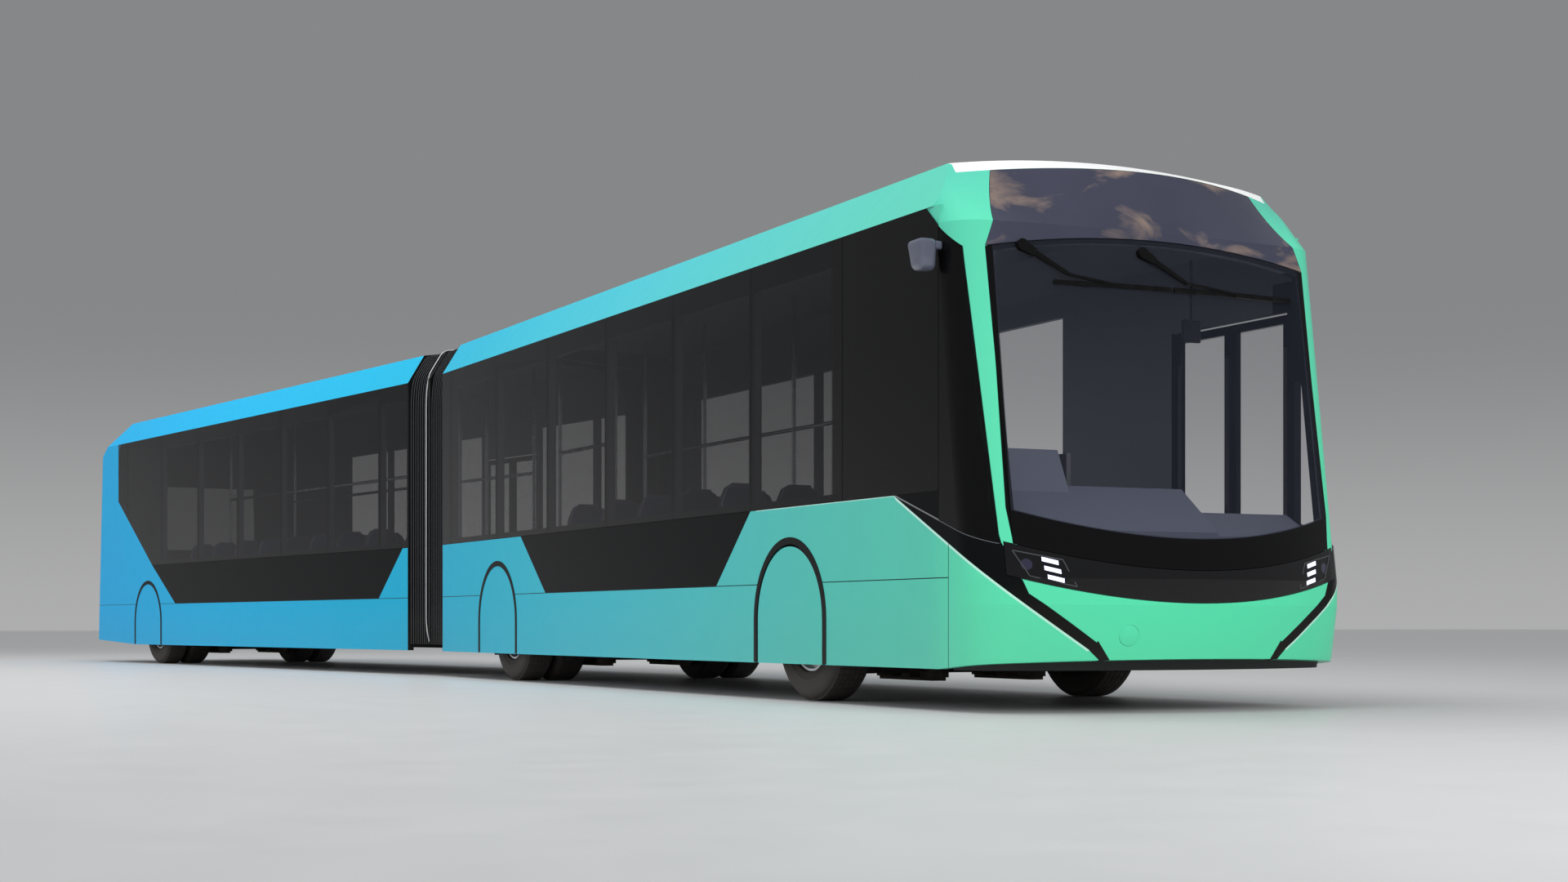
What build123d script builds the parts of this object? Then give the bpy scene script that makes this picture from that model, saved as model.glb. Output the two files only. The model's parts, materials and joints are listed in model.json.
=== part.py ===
"""Articulated city bus, 21 m class: two hollow body sections, a bellows and a turntable between them.

Millimetres, +X forward along the front section, +Y to the bus's left, +Z up.
The sections are drawn with X = 0 at the front axle and Z = 0 on the road. The rear section
is drawn straight and then turned about the turntable's pivot. At the end everything moves so that
the origin is the middle of the footprint, on the road.
"""
from build123d import *
import math
import os

# ---------------------------------------------------------------- driving dimensions
HALF_WIDTH = 1275.0
SKIRT_Z = 240.0
WAIST_Z = 755.0
WINDOW_Z = 1247.0
BAND_Z = 2867.0
COVE_HALF_WIDTH = 1100.0
COVE_TOP_Z = 3150.0
CROWN_Z = 3231.0
WALL = 60.0
GLASS = 8.0
GLASS_GAP = 3.0
BOND = 28.0

FACE_X = 1930.0
ROOF_FACE_X = 1700.0
FRONT_FRAME_X = -7501.0
PIVOT_X = -8056.0
REAR_FRAME_X = 2 * PIVOT_X - FRONT_FRAME_X
TAIL_CAP_X = -17950.0
BEND_DEG = 8.37

MID_AXLE_X = -5877.0
REAR_AXLE_X = -16477.0
TYRE_R = 478.0
TYRE_W = 275.0
TYRE_OUTER_Y = 1150.0
TWIN_GAP = 30.0
RIM_R = 286.0
LIP = 35.0
SINGLE_DISH = 40.0
SINGLE_HUB_BACK = 12.0
SINGLE_CAP = 70.0
TWIN_DISH = 150.0
INNER_DISH = 18.0
TWIN_CAP = 90.0
HUB_CAP = 25.0
HUB_BORE_R = 45.0
SPINDLE_END_GAP = 6.0
RUNNING_CLEARANCE = 0.1

ARCH_R = 516.0
ARCH_Z = 524.0
COVER_R = 470.0
FIXED_COVER_R = 498.0
COVER_T = 30.0
COVER_BAR = 20.0
STEER_LIMIT_DEG = 40.0

FLOOR_Z = 360.0
FLOOR_T = 40.0
FRAME_BOTTOM_Z = 250.0
BOX_WALL = 20.0
BOX_TOP_Z = 1060.0
STEER_BOX_HALF = 620.0
STEER_BOX_Y = 460.0
TWIN_BOX_HALF = 540.0
TWIN_BOX_Y = 450.0

WINDOW_PITCH = 1330.0
FRONT_SEAM_X = -583.0
REAR_SEAM_X = -9300.0
PILLAR = 90.0
WINDOW_SILL = 50.0
WINDOW_HEAD = 170.0

DECK_R = 900.0
DECK_GAP = 8.0
HOOP_T = 60.0
HOOP_DEPTH = 70.0
FOLDS = 9
FOLD_DEPTH = 45.0
BELLOWS_T = 12.0
BELLOWS_INSET = 6.0
BELLOWS_BOTTOM_Z = 300.0
PIVOT_PIN_R = 60.0

DOOR_SILL_Z = 372.0
DOOR_HEAD_Z = 2420.0
DOOR_T = 35.0
DOOR_GAP = 15.0
DOOR_FRAME = 55.0
DOOR_PIN_R = 12.0
PIN_CLEARANCE = 0.3

# Plan of the nose at rising heights: how far forward it reaches, how far its sides fall back
# at the full half width, and the radius of its corners.
NOSE_LEVELS = (
    dict(z=150.0, reach=2585.0, fall=309.0, corner=300.0),
    dict(z=300.0, reach=2625.0, fall=309.0, corner=300.0),
    dict(z=600.0, reach=2675.0, fall=309.0, corner=300.0),
    dict(z=745.0, reach=2675.0, fall=309.0, corner=300.0),
    dict(z=2760.0, reach=2203.0, fall=80.0, corner=245.0),
    dict(z=3136.0, reach=2066.0, fall=400.0, corner=150.0),
    dict(z=3240.0, reach=1740.0, fall=400.0, corner=150.0),
)
TAIL_LEVELS = (
    dict(z=150.0, reach=-18760.0, fall=60.0, corner=220.0),
    dict(z=3300.0, reach=-18535.0, fall=60.0, corner=220.0),
)
# The top of the tail is cut off on a slope between these two points.
TAIL_SLOPE = ((-18570.0, 2620.0), (-17660.0, 3130.0))
# The skirt rises towards the bumper and towards the tail.
NOSE_SKIRT = ((1930.0, 240.0), (2640.0, 300.0))
TAIL_SKIRT = ((-16993.0, 240.0), (-18748.0, 300.0))
FRONT_DOORWAYS = (
    dict(name="front_door", low=690.0, high=1890.0),
    dict(name="middle_door", low=-3243.0, high=-1913.0),
)
REAR_DOORWAYS = (dict(name="rear_door", low=-11960.0, high=-10630.0),)

SIDES = (("right", -1), ("left", 1))


# ---------------------------------------------------------------- helpers
def block(x0, x1, y0, y1, z0, z1):
    """A box between two corners."""
    low = (min(x0, x1), min(y0, y1), min(z0, z1))
    return Solid.make_box(abs(x1 - x0), abs(y1 - y0), abs(z1 - z0)).moved(Location(low))


def side_prism(points, y0, y1):
    """A side-elevation polygon of (x, z) points, drawn from y0 to y1."""
    wire = Wire.make_polygon([(x, y0, z) for x, z in points], close=True)
    return Solid.extrude(Face(wire), Vector(0, y1 - y0, 0))


def front_prism(edges, x0, x1):
    """A closed front-elevation outline at x0, drawn to x1."""
    return Solid.extrude(Face(Wire(edges)), Vector(x1 - x0, 0, 0))


def rod_y(x, z, radius, y0, y1):
    """A round bar across the bus."""
    low = min(y0, y1)
    return Solid.make_cylinder(radius, abs(y1 - y0), Plane(origin=(x, low, z), z_dir=(0, 1, 0)))


def rod_z(x, y, radius, z0, z1):
    """A round upright bar."""
    return Solid.make_cylinder(radius, z1 - z0, Plane(origin=(x, y, z0)))


def rod_x(y, z, radius, x0, x1):
    """A round bar along the bus."""
    return Solid.make_cylinder(radius, x1 - x0, Plane(origin=(x0, y, z), z_dir=(1, 0, 0)))


def join(*pieces):
    """Pieces fused to one."""
    first, *rest = pieces
    return first.fuse(*rest) if rest else first


def solids_of(*shapes):
    """Every solid in some shapes, as a flat list."""
    return [solid for shape in shapes for solid in shape.solids()]


# ---------------------------------------------------------------- the body's envelope
def plan_wire(level, inset, rear_x):
    """One plan outline: nose or tail curve, rounded corners, straight sides."""
    half = HALF_WIDTH - inset
    ahead = 1 if level["reach"] > rear_x else -1
    tip = level["reach"] - ahead * inset
    end = tip - ahead * level["fall"]
    z = level["z"]
    corner = max(level["corner"] - inset, 20.0)
    edges = [
        Edge.make_line((rear_x, -half, z), (end, -half, z)),
        Edge.make_three_point_arc((end, -half, z), (tip, 0, z), (end, half, z)),
        Edge.make_line((end, half, z), (rear_x, half, z)),
        Edge.make_line((rear_x, half, z), (rear_x, -half, z)),
    ]
    wire = Wire(edges)
    corners = [v for v in wire.vertices() if abs(v.X - end) < 1]
    return wire.fillet_2d(corner, corners)


def roof_profile(x0, x1, inset):
    """The space under the roof: wide below the band, coves leaning in, a crowned top."""
    slope = (COVE_TOP_Z - BAND_Z) / (HALF_WIDTH - COVE_HALF_WIDTH)
    lean = math.hypot(1, slope)
    out = 200.0
    foot_y = HALF_WIDTH + out
    foot_z = BAND_Z - out * slope - inset * lean
    top_y = COVE_HALF_WIDTH - inset
    top_z = COVE_TOP_Z + (COVE_HALF_WIDTH - top_y) * slope - inset * lean
    edges = [
        Edge.make_line((x0, foot_y, 0), (x0, -foot_y, 0)),
        Edge.make_line((x0, -foot_y, 0), (x0, -foot_y, foot_z)),
        Edge.make_line((x0, -foot_y, foot_z), (x0, -top_y, top_z)),
        Edge.make_three_point_arc((x0, -top_y, top_z), (x0, 0, CROWN_Z - inset), (x0, top_y, top_z)),
        Edge.make_line((x0, top_y, top_z), (x0, foot_y, foot_z)),
        Edge.make_line((x0, foot_y, foot_z), (x0, foot_y, 0)),
    ]
    return front_prism(edges, x0, x1)


def envelope(levels, rear_x, inset):
    """A body section as one closed solid, its faces moved in by the inset."""
    shape = Solid.make_loft([plan_wire(level, inset, rear_x) for level in levels], ruled=True)
    ends = sorted((rear_x, max((lv["reach"] for lv in levels), key=lambda v: abs(v - rear_x))))
    return shape & roof_profile(ends[0] - 500, ends[1] + 500, inset)


def tail_slope(inset):
    """The space under the tail's sloping top, moved in by the inset."""
    (xa, za), (xb, zb) = TAIL_SLOPE
    rise = (zb - za) / (xb - xa)
    drop = inset * math.hypot(1, rise)
    reach = 1500.0
    return side_prism(
        [
            (xa - reach, 0), (xb + reach, 0), (REAR_FRAME_X + 500, 0), (REAR_FRAME_X + 500, 4000),
            (xb + reach, zb + rise * reach - drop), (xa - reach, za - rise * reach - drop),
        ],
        -2000, 2000,
    )


def rear_envelope(inset):
    """The rear section as one closed solid, its faces moved in by the inset."""
    return envelope(TAIL_LEVELS, REAR_FRAME_X, inset) & tail_slope(inset)


def under_skirt(ends, y0, y1):
    """The space under a rising skirt line, from its first end out past its second."""
    (xa, za), (xb, zb) = ends
    far = xb + (xb - xa)
    return side_prism([(xa, 0), (far, 0), (far, 2 * zb - za), (xa, za)], y0, y1)


def arch(x, radius, y0, y1):
    """A wheel arch: a half round on straight sides that run down past the skirt."""
    return join(
        rod_y(x, ARCH_Z, radius, y0, y1),
        block(x - radius, x + radius, y0, y1, 0, ARCH_Z),
    )


# ---------------------------------------------------------------- walls and windows
def window_bays(seams, doorways):
    """Pairs of seams that hold a window, leaving the doorways out."""
    bays = []
    for low, high in zip(seams, seams[1:]):
        if not any(low < d["high"] - 1 and high > d["low"] + 1 for d in doorways):
            bays.append((low, high))
    return bays


def side_wall(side, x0, x1, bays, doorways, axle_x, band_top):
    """A body side with its wheel arch, window openings and doorways cut."""
    outer = side * HALF_WIDTH
    inner = side * (HALF_WIDTH - WALL)
    glass_back = side * (HALF_WIDTH - GLASS)
    wall = join(
        block(x0, x1, inner, outer, SKIRT_Z, WINDOW_Z),
        block(x0, x1, inner, glass_back, WINDOW_Z, BAND_Z),
    )
    cuts = [arch(axle_x, ARCH_R, inner - side * 10, outer + side * 10)]
    for low, high in bays:
        cuts.append(
            block(
                low + PILLAR / 2, high - PILLAR / 2, inner - side * 10, outer + side * 10,
                WINDOW_Z + WINDOW_SILL, BAND_Z - WINDOW_HEAD,
            )
        )
    for door in doorways:
        cuts.append(
            block(
                door["low"], door["high"], inner - side * 10, outer + side * 10,
                DOOR_SILL_Z, DOOR_HEAD_Z,
            )
        )
    wall = wall.cut(*cuts)
    return wall & side_prism(band_top, inner - side * 20, outer + side * 20)


def side_panes(side, seams, doorways, band_top):
    """Bonded panes over the whole window band, one to a bay, flush with the wall below."""
    outer = side * HALF_WIDTH
    back = side * (HALF_WIDTH - GLASS)
    panes = []
    for low, high in zip(seams, seams[1:]):
        pane = block(
            low + GLASS_GAP, high - GLASS_GAP, back, outer, WINDOW_Z + GLASS_GAP, BAND_Z
        )
        for door in doorways:
            if low < door["high"] - 1 and high > door["low"] + 1:
                pane = pane.cut(
                    block(
                        door["low"] - GLASS_GAP, door["high"] + GLASS_GAP,
                        back - side * 5, outer + side * 5, 0, DOOR_HEAD_Z + GLASS_GAP,
                    )
                )
        panes += solids_of(pane & side_prism(band_top, back - side * 5, outer + side * 5))
    return panes


def door_leaf(x0, x1, side, pin_x):
    """A framed leaf with its pane and the pins it turns on, closed flush with the wall."""
    outer = side * HALF_WIDTH
    inner = side * (HALF_WIDTH - DOOR_T)
    z0 = DOOR_SILL_Z + DOOR_GAP
    z1 = DOOR_HEAD_Z - DOOR_GAP
    frame = block(x0, x1, inner, outer, z0, z1).cut(
        block(
            x0 + DOOR_FRAME, x1 - DOOR_FRAME, inner - side * 5, outer + side * 5,
            z0 + 2 * DOOR_FRAME, z1 - DOOR_FRAME,
        )
    )
    mid = side * (HALF_WIDTH - DOOR_T / 2)
    pins = [
        rod_z(pin_x, mid, DOOR_PIN_R, DOOR_SILL_Z + PIN_CLEARANCE, z0 + 5),
        rod_z(pin_x, mid, DOOR_PIN_R, z1 - 5, DOOR_HEAD_Z - PIN_CLEARANCE),
    ]
    frame = join(frame, *pins)
    pane = block(
        x0 + DOOR_FRAME, x1 - DOOR_FRAME, mid - GLASS / 2, mid + GLASS / 2,
        z0 + 2 * DOOR_FRAME, z1 - DOOR_FRAME,
    )
    return [*solids_of(frame), *solids_of(pane)]


# ---------------------------------------------------------------- wheels
def tyre(y0, y1):
    """A tyre ring on the axle line at x = 0, z = TYRE_R, with rounded shoulders."""
    shoulder = 45.0
    low, high = min(y0, y1), max(y0, y1)
    ring_r = RIM_R
    points = [
        (ring_r, low + shoulder / 2), (TYRE_R - shoulder * 1.6, low), (TYRE_R - shoulder / 2, low + 8),
        (TYRE_R, low + shoulder), (TYRE_R, high - shoulder), (TYRE_R - shoulder / 2, high - 8),
        (TYRE_R - shoulder * 1.6, high), (ring_r, high - shoulder / 2),
    ]
    wire = Wire.make_polygon([(r, y, 0) for r, y in points], close=True)
    ring = Solid.revolve(Face(wire), 360, Axis((0, 0, 0), (0, 1, 0)))
    return ring.moved(Location((0, 0, TYRE_R)))


def rim(y0, y1, side, dish):
    """A pressed rim: barrel, disc set in by the dish from the outer edge, and hub with its bore."""
    inner, outer = (y0, y1) if abs(y1) > abs(y0) else (y1, y0)
    barrel = rod_y(0, TYRE_R, RIM_R, inner, outer).cut(
        rod_y(0, TYRE_R, RIM_R - 14, inner - side * 5, outer + side * 5)
    )
    disc_y = outer - side * dish
    disc = rod_y(0, TYRE_R, RIM_R - 7, disc_y - side * 14, disc_y)
    holes = [
        rod_y(
            190 * math.cos(math.radians(a)), TYRE_R + 190 * math.sin(math.radians(a)),
            26, disc_y - side * 30, disc_y + side * 10,
        )
        for a in range(0, 360, 36)
    ]
    disc = disc.cut(*holes)
    return barrel, disc, disc_y


def hub(disc_y, side, inner_y, cap):
    """The hub behind and through a disc, bored for the spindle."""
    body = rod_y(0, TYRE_R, 120, inner_y, disc_y + side * 10)
    nose = rod_y(0, TYRE_R, 85, disc_y, disc_y + side * cap)
    bore = rod_y(
        0, TYRE_R, HUB_BORE_R + RUNNING_CLEARANCE, inner_y - side * 50, disc_y + side * (cap - HUB_CAP)
    )
    return join(body, nose), bore


def single_wheel(side):
    """A steered wheel: tyre and rim."""
    outer = side * TYRE_OUTER_Y
    inner = side * (TYRE_OUTER_Y - TYRE_W)
    barrel, disc, disc_y = rim(inner + side * LIP, outer - side * LIP, side, SINGLE_DISH)
    centre, bore = hub(disc_y, side, disc_y - side * SINGLE_HUB_BACK, SINGLE_CAP)
    return tyre(inner, outer), join(barrel, disc, centre).cut(bore)


def twin_wheel(side):
    """A pair of wheels on one hub: two tyres and one rim body."""
    outer = side * TYRE_OUTER_Y
    split = side * (TYRE_OUTER_Y - TYRE_W)
    second = split - side * TWIN_GAP
    inner = second - side * TYRE_W
    barrel_a, disc_a, disc_y = rim(split + side * LIP, outer - side * LIP, side, TWIN_DISH)
    barrel_b, disc_b, _ = rim(inner + side * LIP, second - side * LIP, side, INNER_DISH)
    centre, bore = hub(disc_y, side, inner + side * 60, TWIN_CAP)
    tyres = [*solids_of(tyre(split, outer)), *solids_of(tyre(inner, second))]
    return tyres, join(barrel_a, disc_a, barrel_b, disc_b, centre).cut(bore)


# ---------------------------------------------------------------- front section
NODES = {}


def keep(name, *shapes):
    """Store a node's solids."""
    NODES[name] = solids_of(*shapes)


def seams_between(first, low, high):
    """Pane seams one pitch apart through a known seam, with the ends of the band."""
    count = int((high - low) // WINDOW_PITCH) + 2
    inside = [first + WINDOW_PITCH * k for k in range(-count, count + 1)]
    margin = 150
    return [low, *[x for x in sorted(inside) if low + margin < x < high - margin], high]


# The band's top front corner is cut off towards the top of the screen pillar.
CORNER_CUT = ((1781.0, BAND_Z), (2087.0, 2614.0))


def corner_cut_z(x):
    """Height of the cut corner at a station."""
    (xa, za), (xb, zb) = CORNER_CUT
    return za + (zb - za) * (x - xa) / (xb - xa)


FRONT_BAND_TOP = (
    (FRONT_FRAME_X, 0), (FACE_X, 0), (FACE_X, corner_cut_z(FACE_X)),
    (CORNER_CUT[0][0], BAND_Z), (FRONT_FRAME_X, BAND_Z),
)
FULL_FRONT_SIDE = (
    (FRONT_FRAME_X, 0), (FACE_X, 0), (FACE_X, BAND_Z), (FRONT_FRAME_X, BAND_Z),
)
front_seams = seams_between(FRONT_SEAM_X, FRONT_FRAME_X, FACE_X)

# The rear glazing ends in an edge that leans back up from the waist.
REAR_BAND_X = -17677.0
REAR_BAND_KINK_Z = 2116.0
REAR_BAND_FOOT_X = -16314.0

outer_front = envelope(NOSE_LEVELS, FRONT_FRAME_X, 0)
glass_front = envelope(NOSE_LEVELS, FRONT_FRAME_X, GLASS)
inner_front = envelope(NOSE_LEVELS, FRONT_FRAME_X, WALL)

for side_name, side in SIDES:
    doors = FRONT_DOORWAYS if side > 0 else ()
    bays = window_bays(front_seams[1:], doors)
    wall = side_wall(side, FRONT_FRAME_X, FACE_X, bays, doors, 0, FULL_FRONT_SIDE)
    wall = wall.cut(
        arch(MID_AXLE_X, ARCH_R, side * (HALF_WIDTH - WALL - 10), side * (HALF_WIDTH + 10))
    )
    keep("front_" + side_name + "_wall", wall)

keep(
    "front_side_windows",
    *[
        pane
        for _, side in SIDES
        for pane in side_panes(
            side, front_seams, FRONT_DOORWAYS if side > 0 else (), FRONT_BAND_TOP
        )
    ],
)
roof_zone = block(FRONT_FRAME_X, ROOF_FACE_X, -2000, 2000, BAND_Z, 4000)
keep("front_roof", (outer_front & roof_zone) - inner_front)


# ---- nose
def arc_band(half, low_mid, low_end, high_mid, high_half, high_end, x):
    """A front-elevation outline with arched lower and upper edges."""
    return [
        Edge.make_three_point_arc((x, -half, low_end), (x, 0, low_mid), (x, half, low_end)),
        Edge.make_line((x, half, low_end), (x, high_half, high_end)),
        Edge.make_three_point_arc(
            (x, high_half, high_end), (x, 0, high_mid), (x, -high_half, high_end)
        ),
        Edge.make_line((x, -high_half, high_end), (x, -half, low_end)),
    ]


SCREEN_HALF = HALF_WIDTH - 186.0
SCREEN_HEAD_HALF = HALF_WIDTH - 167.0
LAMP_HALF = SCREEN_HALF + 46.0
SCREEN = dict(
    half=SCREEN_HALF, low_mid=793.0, low_end=935.0,
    high_mid=2708.0, high_half=SCREEN_HEAD_HALF, high_end=2611.0,
)
SIGN = dict(
    half=SCREEN_HEAD_HALF, low_mid=SCREEN["high_mid"], low_end=SCREEN["high_end"],
    high_mid=3136.0, high_half=SCREEN_HEAD_HALF - 193.0, high_end=3099.0,
)
LAMP_BAND = dict(
    half=LAMP_HALF, low_mid=608.0, low_end=761.0,
    high_mid=SCREEN["low_mid"] + 2.0, high_half=LAMP_HALF, high_end=SCREEN["low_end"] + 15.0,
)


def shrunk(shape, margin):
    """An outline's dimensions with a margin taken off all round."""
    return dict(
        half=shape["half"] - margin, low_mid=shape["low_mid"] + margin, low_end=shape["low_end"] + margin,
        high_mid=shape["high_mid"] - margin, high_half=shape["high_half"] - margin,
        high_end=shape["high_end"] - margin,
    )


def nose_prism(shape, margin):
    """A front-elevation outline as a prism through the nose."""
    return front_prism(arc_band(**shrunk(shape, margin), x=ROOF_FACE_X), ROOF_FACE_X, FACE_X + 1500)


nose_zone = join(
    block(FACE_X, FACE_X + 1500, -2000, 2000, SKIRT_Z, 4000),
    block(ROOF_FACE_X, FACE_X + 10, -2000, 2000, BAND_Z, 4000),
)
nose_shell = outer_front & nose_zone


CORNER_SILL = ((FACE_X, 1082.0), (2460.0, 914.0))
PILLAR_FOOT_Y = HALF_WIDTH - 128.0
PILLAR_HEAD_Y = HALF_WIDTH - 54.0
CLEAR_Y = HALF_WIDTH + 125.0


def corner_glass_prism(side, margin):
    """The space of the quarter pane between the side band and the screen pillar."""
    (xa, za), (xb, zb) = CORNER_SILL
    cut_x, cut_z = CORNER_CUT[1]
    elevation = side_prism(
        [
            (xa + margin, za + margin), (xb, zb + margin), (xb, cut_z - margin),
            (cut_x, cut_z - margin), (xa + margin, corner_cut_z(xa) - margin),
        ],
        side * 1000, side * CLEAR_Y,
    )
    foot, head = side * (PILLAR_FOOT_Y + margin), side * (PILLAR_HEAD_Y + margin)
    low, high = 900.0, 2900.0
    corners = [(foot, low), (side * CLEAR_Y, low), (side * CLEAR_Y, high), (head, high)]
    edges = [
        Edge.make_line((FACE_X, *a), (FACE_X, *b)) for a, b in zip(corners, corners[1:] + corners[:1])
    ]
    return elevation & front_prism(edges, FACE_X, FACE_X + 1500)


rebates = [nose_prism(SCREEN, 0), nose_prism(SIGN, 0), nose_prism(LAMP_BAND, 0)]
rebates += [corner_glass_prism(side, 0) for _, side in SIDES]
rebates = [shape - glass_front for shape in rebates]
openings = [nose_prism(SCREEN, BOND), nose_prism(SIGN, BOND)]
openings += [corner_glass_prism(side, BOND) for _, side in SIDES]
TOW_Y = -450.0
TOW_Z = 430.0
tow_access = rod_x(TOW_Y, TOW_Z, 60, FACE_X, FACE_X + 1500)
nose = (nose_shell - inner_front).cut(*openings, tow_access, under_skirt(NOSE_SKIRT, -2000, 2000))
for rebate in rebates:
    nose = nose - rebate
keep("front_mask", nose)
keep("windscreen", (nose_shell & nose_prism(SCREEN, GLASS_GAP)) - glass_front)
keep("destination_panel", (nose_shell & nose_prism(SIGN, GLASS_GAP)) - glass_front)
NODES["front_side_windows"] += solids_of(
    *[(nose_shell & corner_glass_prism(side, GLASS_GAP)) - glass_front for _, side in SIDES]
)


def lamp_bar(side, inset, z):
    """A slanting light bar as a prism through the nose, set in from the body's side."""
    y = HALF_WIDTH - inset
    corners = [
        (side * (y - BAR_HALF), z - BAR_SLANT - BAR_RISE), (side * (y + BAR_HALF), z + BAR_SLANT - BAR_RISE),
        (side * (y + BAR_HALF), z + BAR_SLANT + BAR_RISE), (side * (y - BAR_HALF), z - BAR_SLANT + BAR_RISE),
    ]
    edges = [
        Edge.make_line((FACE_X, *a), (FACE_X, *b)) for a, b in zip(corners, corners[1:] + corners[:1])
    ]
    return front_prism(edges, FACE_X, FACE_X + 1500)


BAR_HALF = 44.0
BAR_SLANT = 11.0
BAR_RISE = 12.0
LAMP_BARS = (dict(inset=374.0, z=841.0), dict(inset=384.0, z=792.0), dict(inset=398.0, z=743.0))
LENS = dict(inset=248.0, z=822.0, radius=31.0)
lamps = [lamp_bar(side, **bar) for _, side in SIDES for bar in LAMP_BARS]
lamps += [
    rod_x(side * (HALF_WIDTH - LENS["inset"]), LENS["z"], LENS["radius"], FACE_X, FACE_X + 1500)
    for _, side in SIDES
]
lamp_band = (nose_shell & nose_prism(LAMP_BAND, GLASS_GAP)) - glass_front
keep("lamp_band", lamp_band.cut(*lamps))
keep("headlamps", *[lamp_band & lamp for lamp in lamps])

# ---- floor and frame of the front section
inner_half = HALF_WIDTH - WALL


def wheel_box(axle_x, half, box_y, side):
    """The housing over a wheel: a box open below and to the outside, and the hollow inside it."""
    low, high = axle_x - half, axle_x + half
    shell = block(low, high, side * box_y, side * inner_half, FLOOR_Z - FLOOR_T, BOX_TOP_Z)
    hollow = block(
        low + BOX_WALL, high - BOX_WALL, side * (box_y + BOX_WALL), side * (inner_half + 10),
        0, BOX_TOP_Z - BOX_WALL,
    )
    return shell, hollow


def floor_plate(x0, x1, boxes, extra):
    """The saloon floor with its wheel boxes, cut round for the turntable's deck."""
    plate = block(x0, x1, -inner_half, inner_half, FLOOR_Z - FLOOR_T, FLOOR_Z)
    shells = [shell for shell, _ in boxes]
    hollows = [hollow for _, hollow in boxes]
    deck = rod_z(PIVOT_X, 0, DECK_R + DECK_GAP, 0, 2000)
    return join(plate, *shells, *extra).cut(*hollows, deck)


CAB_X0 = 700.0
CAB_Y = 300.0
CAB_FLOOR_Z = 600.0
front_boxes = [wheel_box(0, STEER_BOX_HALF, STEER_BOX_Y, s) for _, s in SIDES]
front_boxes += [wheel_box(MID_AXLE_X, TWIN_BOX_HALF, TWIN_BOX_Y, s) for _, s in SIDES]
cab_step = block(STEER_BOX_HALF, FACE_X - 100, -inner_half, -CAB_Y, FLOOR_Z - FLOOR_T, CAB_FLOOR_Z)
nose_floor = (
    inner_front & block(FACE_X, FACE_X + 1500, -2000, 2000, FLOOR_Z - FLOOR_T, FLOOR_Z)
) & block(FACE_X, 2370, -2000, 2000, 0, 1000)
keep("front_floor", floor_plate(FRONT_FRAME_X, FACE_X, front_boxes, [cab_step, nose_floor]))

RAIL_Y = 330.0
RAIL_W = 80.0
PIVOT_ARM_HALF = 230.0
BEARING_R = 210.0
FRONT_PLATE_Z = (256.0, 314.0)
REAR_PLATE_Z = (186.0, 248.0)


def member_half(x):
    """Half length of a cross member: short inside the curved nose and tail."""
    return 880.0 if x > FACE_X or x < TAIL_CAP_X else inner_half


def frame(x0, x1, cross_members):
    """Two long rails and a row of cross members under the floor."""
    rails = [
        block(x0, x1, s * RAIL_Y, s * (RAIL_Y + RAIL_W), FRAME_BOTTOM_Z, FLOOR_Z - FLOOR_T)
        for _, s in SIDES
    ]
    members = [
        block(
            x - 40, x + 40, -member_half(x), member_half(x), FRAME_BOTTOM_Z + 20, FLOOR_Z - FLOOR_T
        )
        for x in cross_members
    ]
    return join(*rails, *members)


front_members = (2300.0, 1700.0, 760.0, -760.0, -1700.0, -2600.0, -3500.0, -4400.0, -5200.0, -6600.0, -7430.0)
# Over the axles the rails break, because the dropped beams pass there.
AXLE_SLOT = 130.0
RAIL_BRIDGE = 6.0
front_frame = frame(FRONT_FRAME_X + 5, 2400.0, front_members)
for x in (0.0, MID_AXLE_X):
    front_frame = front_frame.cut(block(x - AXLE_SLOT, x + AXLE_SLOT, -2000, 2000, 0, FLOOR_Z - FLOOR_T - RAIL_BRIDGE))
TOW_R = 21.0
TOW_DEPTH = 110.0
TOW_FACE_X = 2560.0
tow_boss = rod_x(TOW_Y, TOW_Z, 45, TOW_FACE_X - 170, TOW_FACE_X).cut(
    rod_x(TOW_Y, TOW_Z, TOW_R, TOW_FACE_X - TOW_DEPTH, TOW_FACE_X + 50)
)
tow_post = join(
    block(2380, 2450, TOW_Y - 45, TOW_Y + 45, FRAME_BOTTOM_Z + 20, TOW_Z),
    block(2300, 2450, TOW_Y - 45, TOW_Y + 45, FRAME_BOTTOM_Z + 20, FLOOR_Z - FLOOR_T),
)
front_arm = join(
    block(PIVOT_X, FRONT_FRAME_X + 60, -PIVOT_ARM_HALF, PIVOT_ARM_HALF, *FRONT_PLATE_Z),
    rod_z(PIVOT_X, 0, BEARING_R, *FRONT_PLATE_Z),
    rod_z(PIVOT_X, 0, PIVOT_PIN_R, REAR_PLATE_Z[0], FRONT_PLATE_Z[1]),
)
LIP_INSET = (WALL + 4.0, WALL + 44.0)
LIP_Z = (235.0, 318.0)
lip_zone = block(FACE_X + 60, FACE_X + 1500, -2000, 2000, *LIP_Z)
underlip = (envelope(NOSE_LEVELS, FRONT_FRAME_X, LIP_INSET[0]) & lip_zone) - envelope(
    NOSE_LEVELS, FRONT_FRAME_X, LIP_INSET[1]
)
lip_brackets = [
    block(2395, 2515, s * RAIL_Y, s * (RAIL_Y + RAIL_W), FRAME_BOTTOM_Z, FLOOR_Z - FLOOR_T)
    for _, s in SIDES
]
keep("front_frame", join(front_frame, front_arm, tow_post, tow_boss, underlip, *lip_brackets))

# ---- axles
BEAM_Z = 235.0
BEAM_R = 62.0


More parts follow.
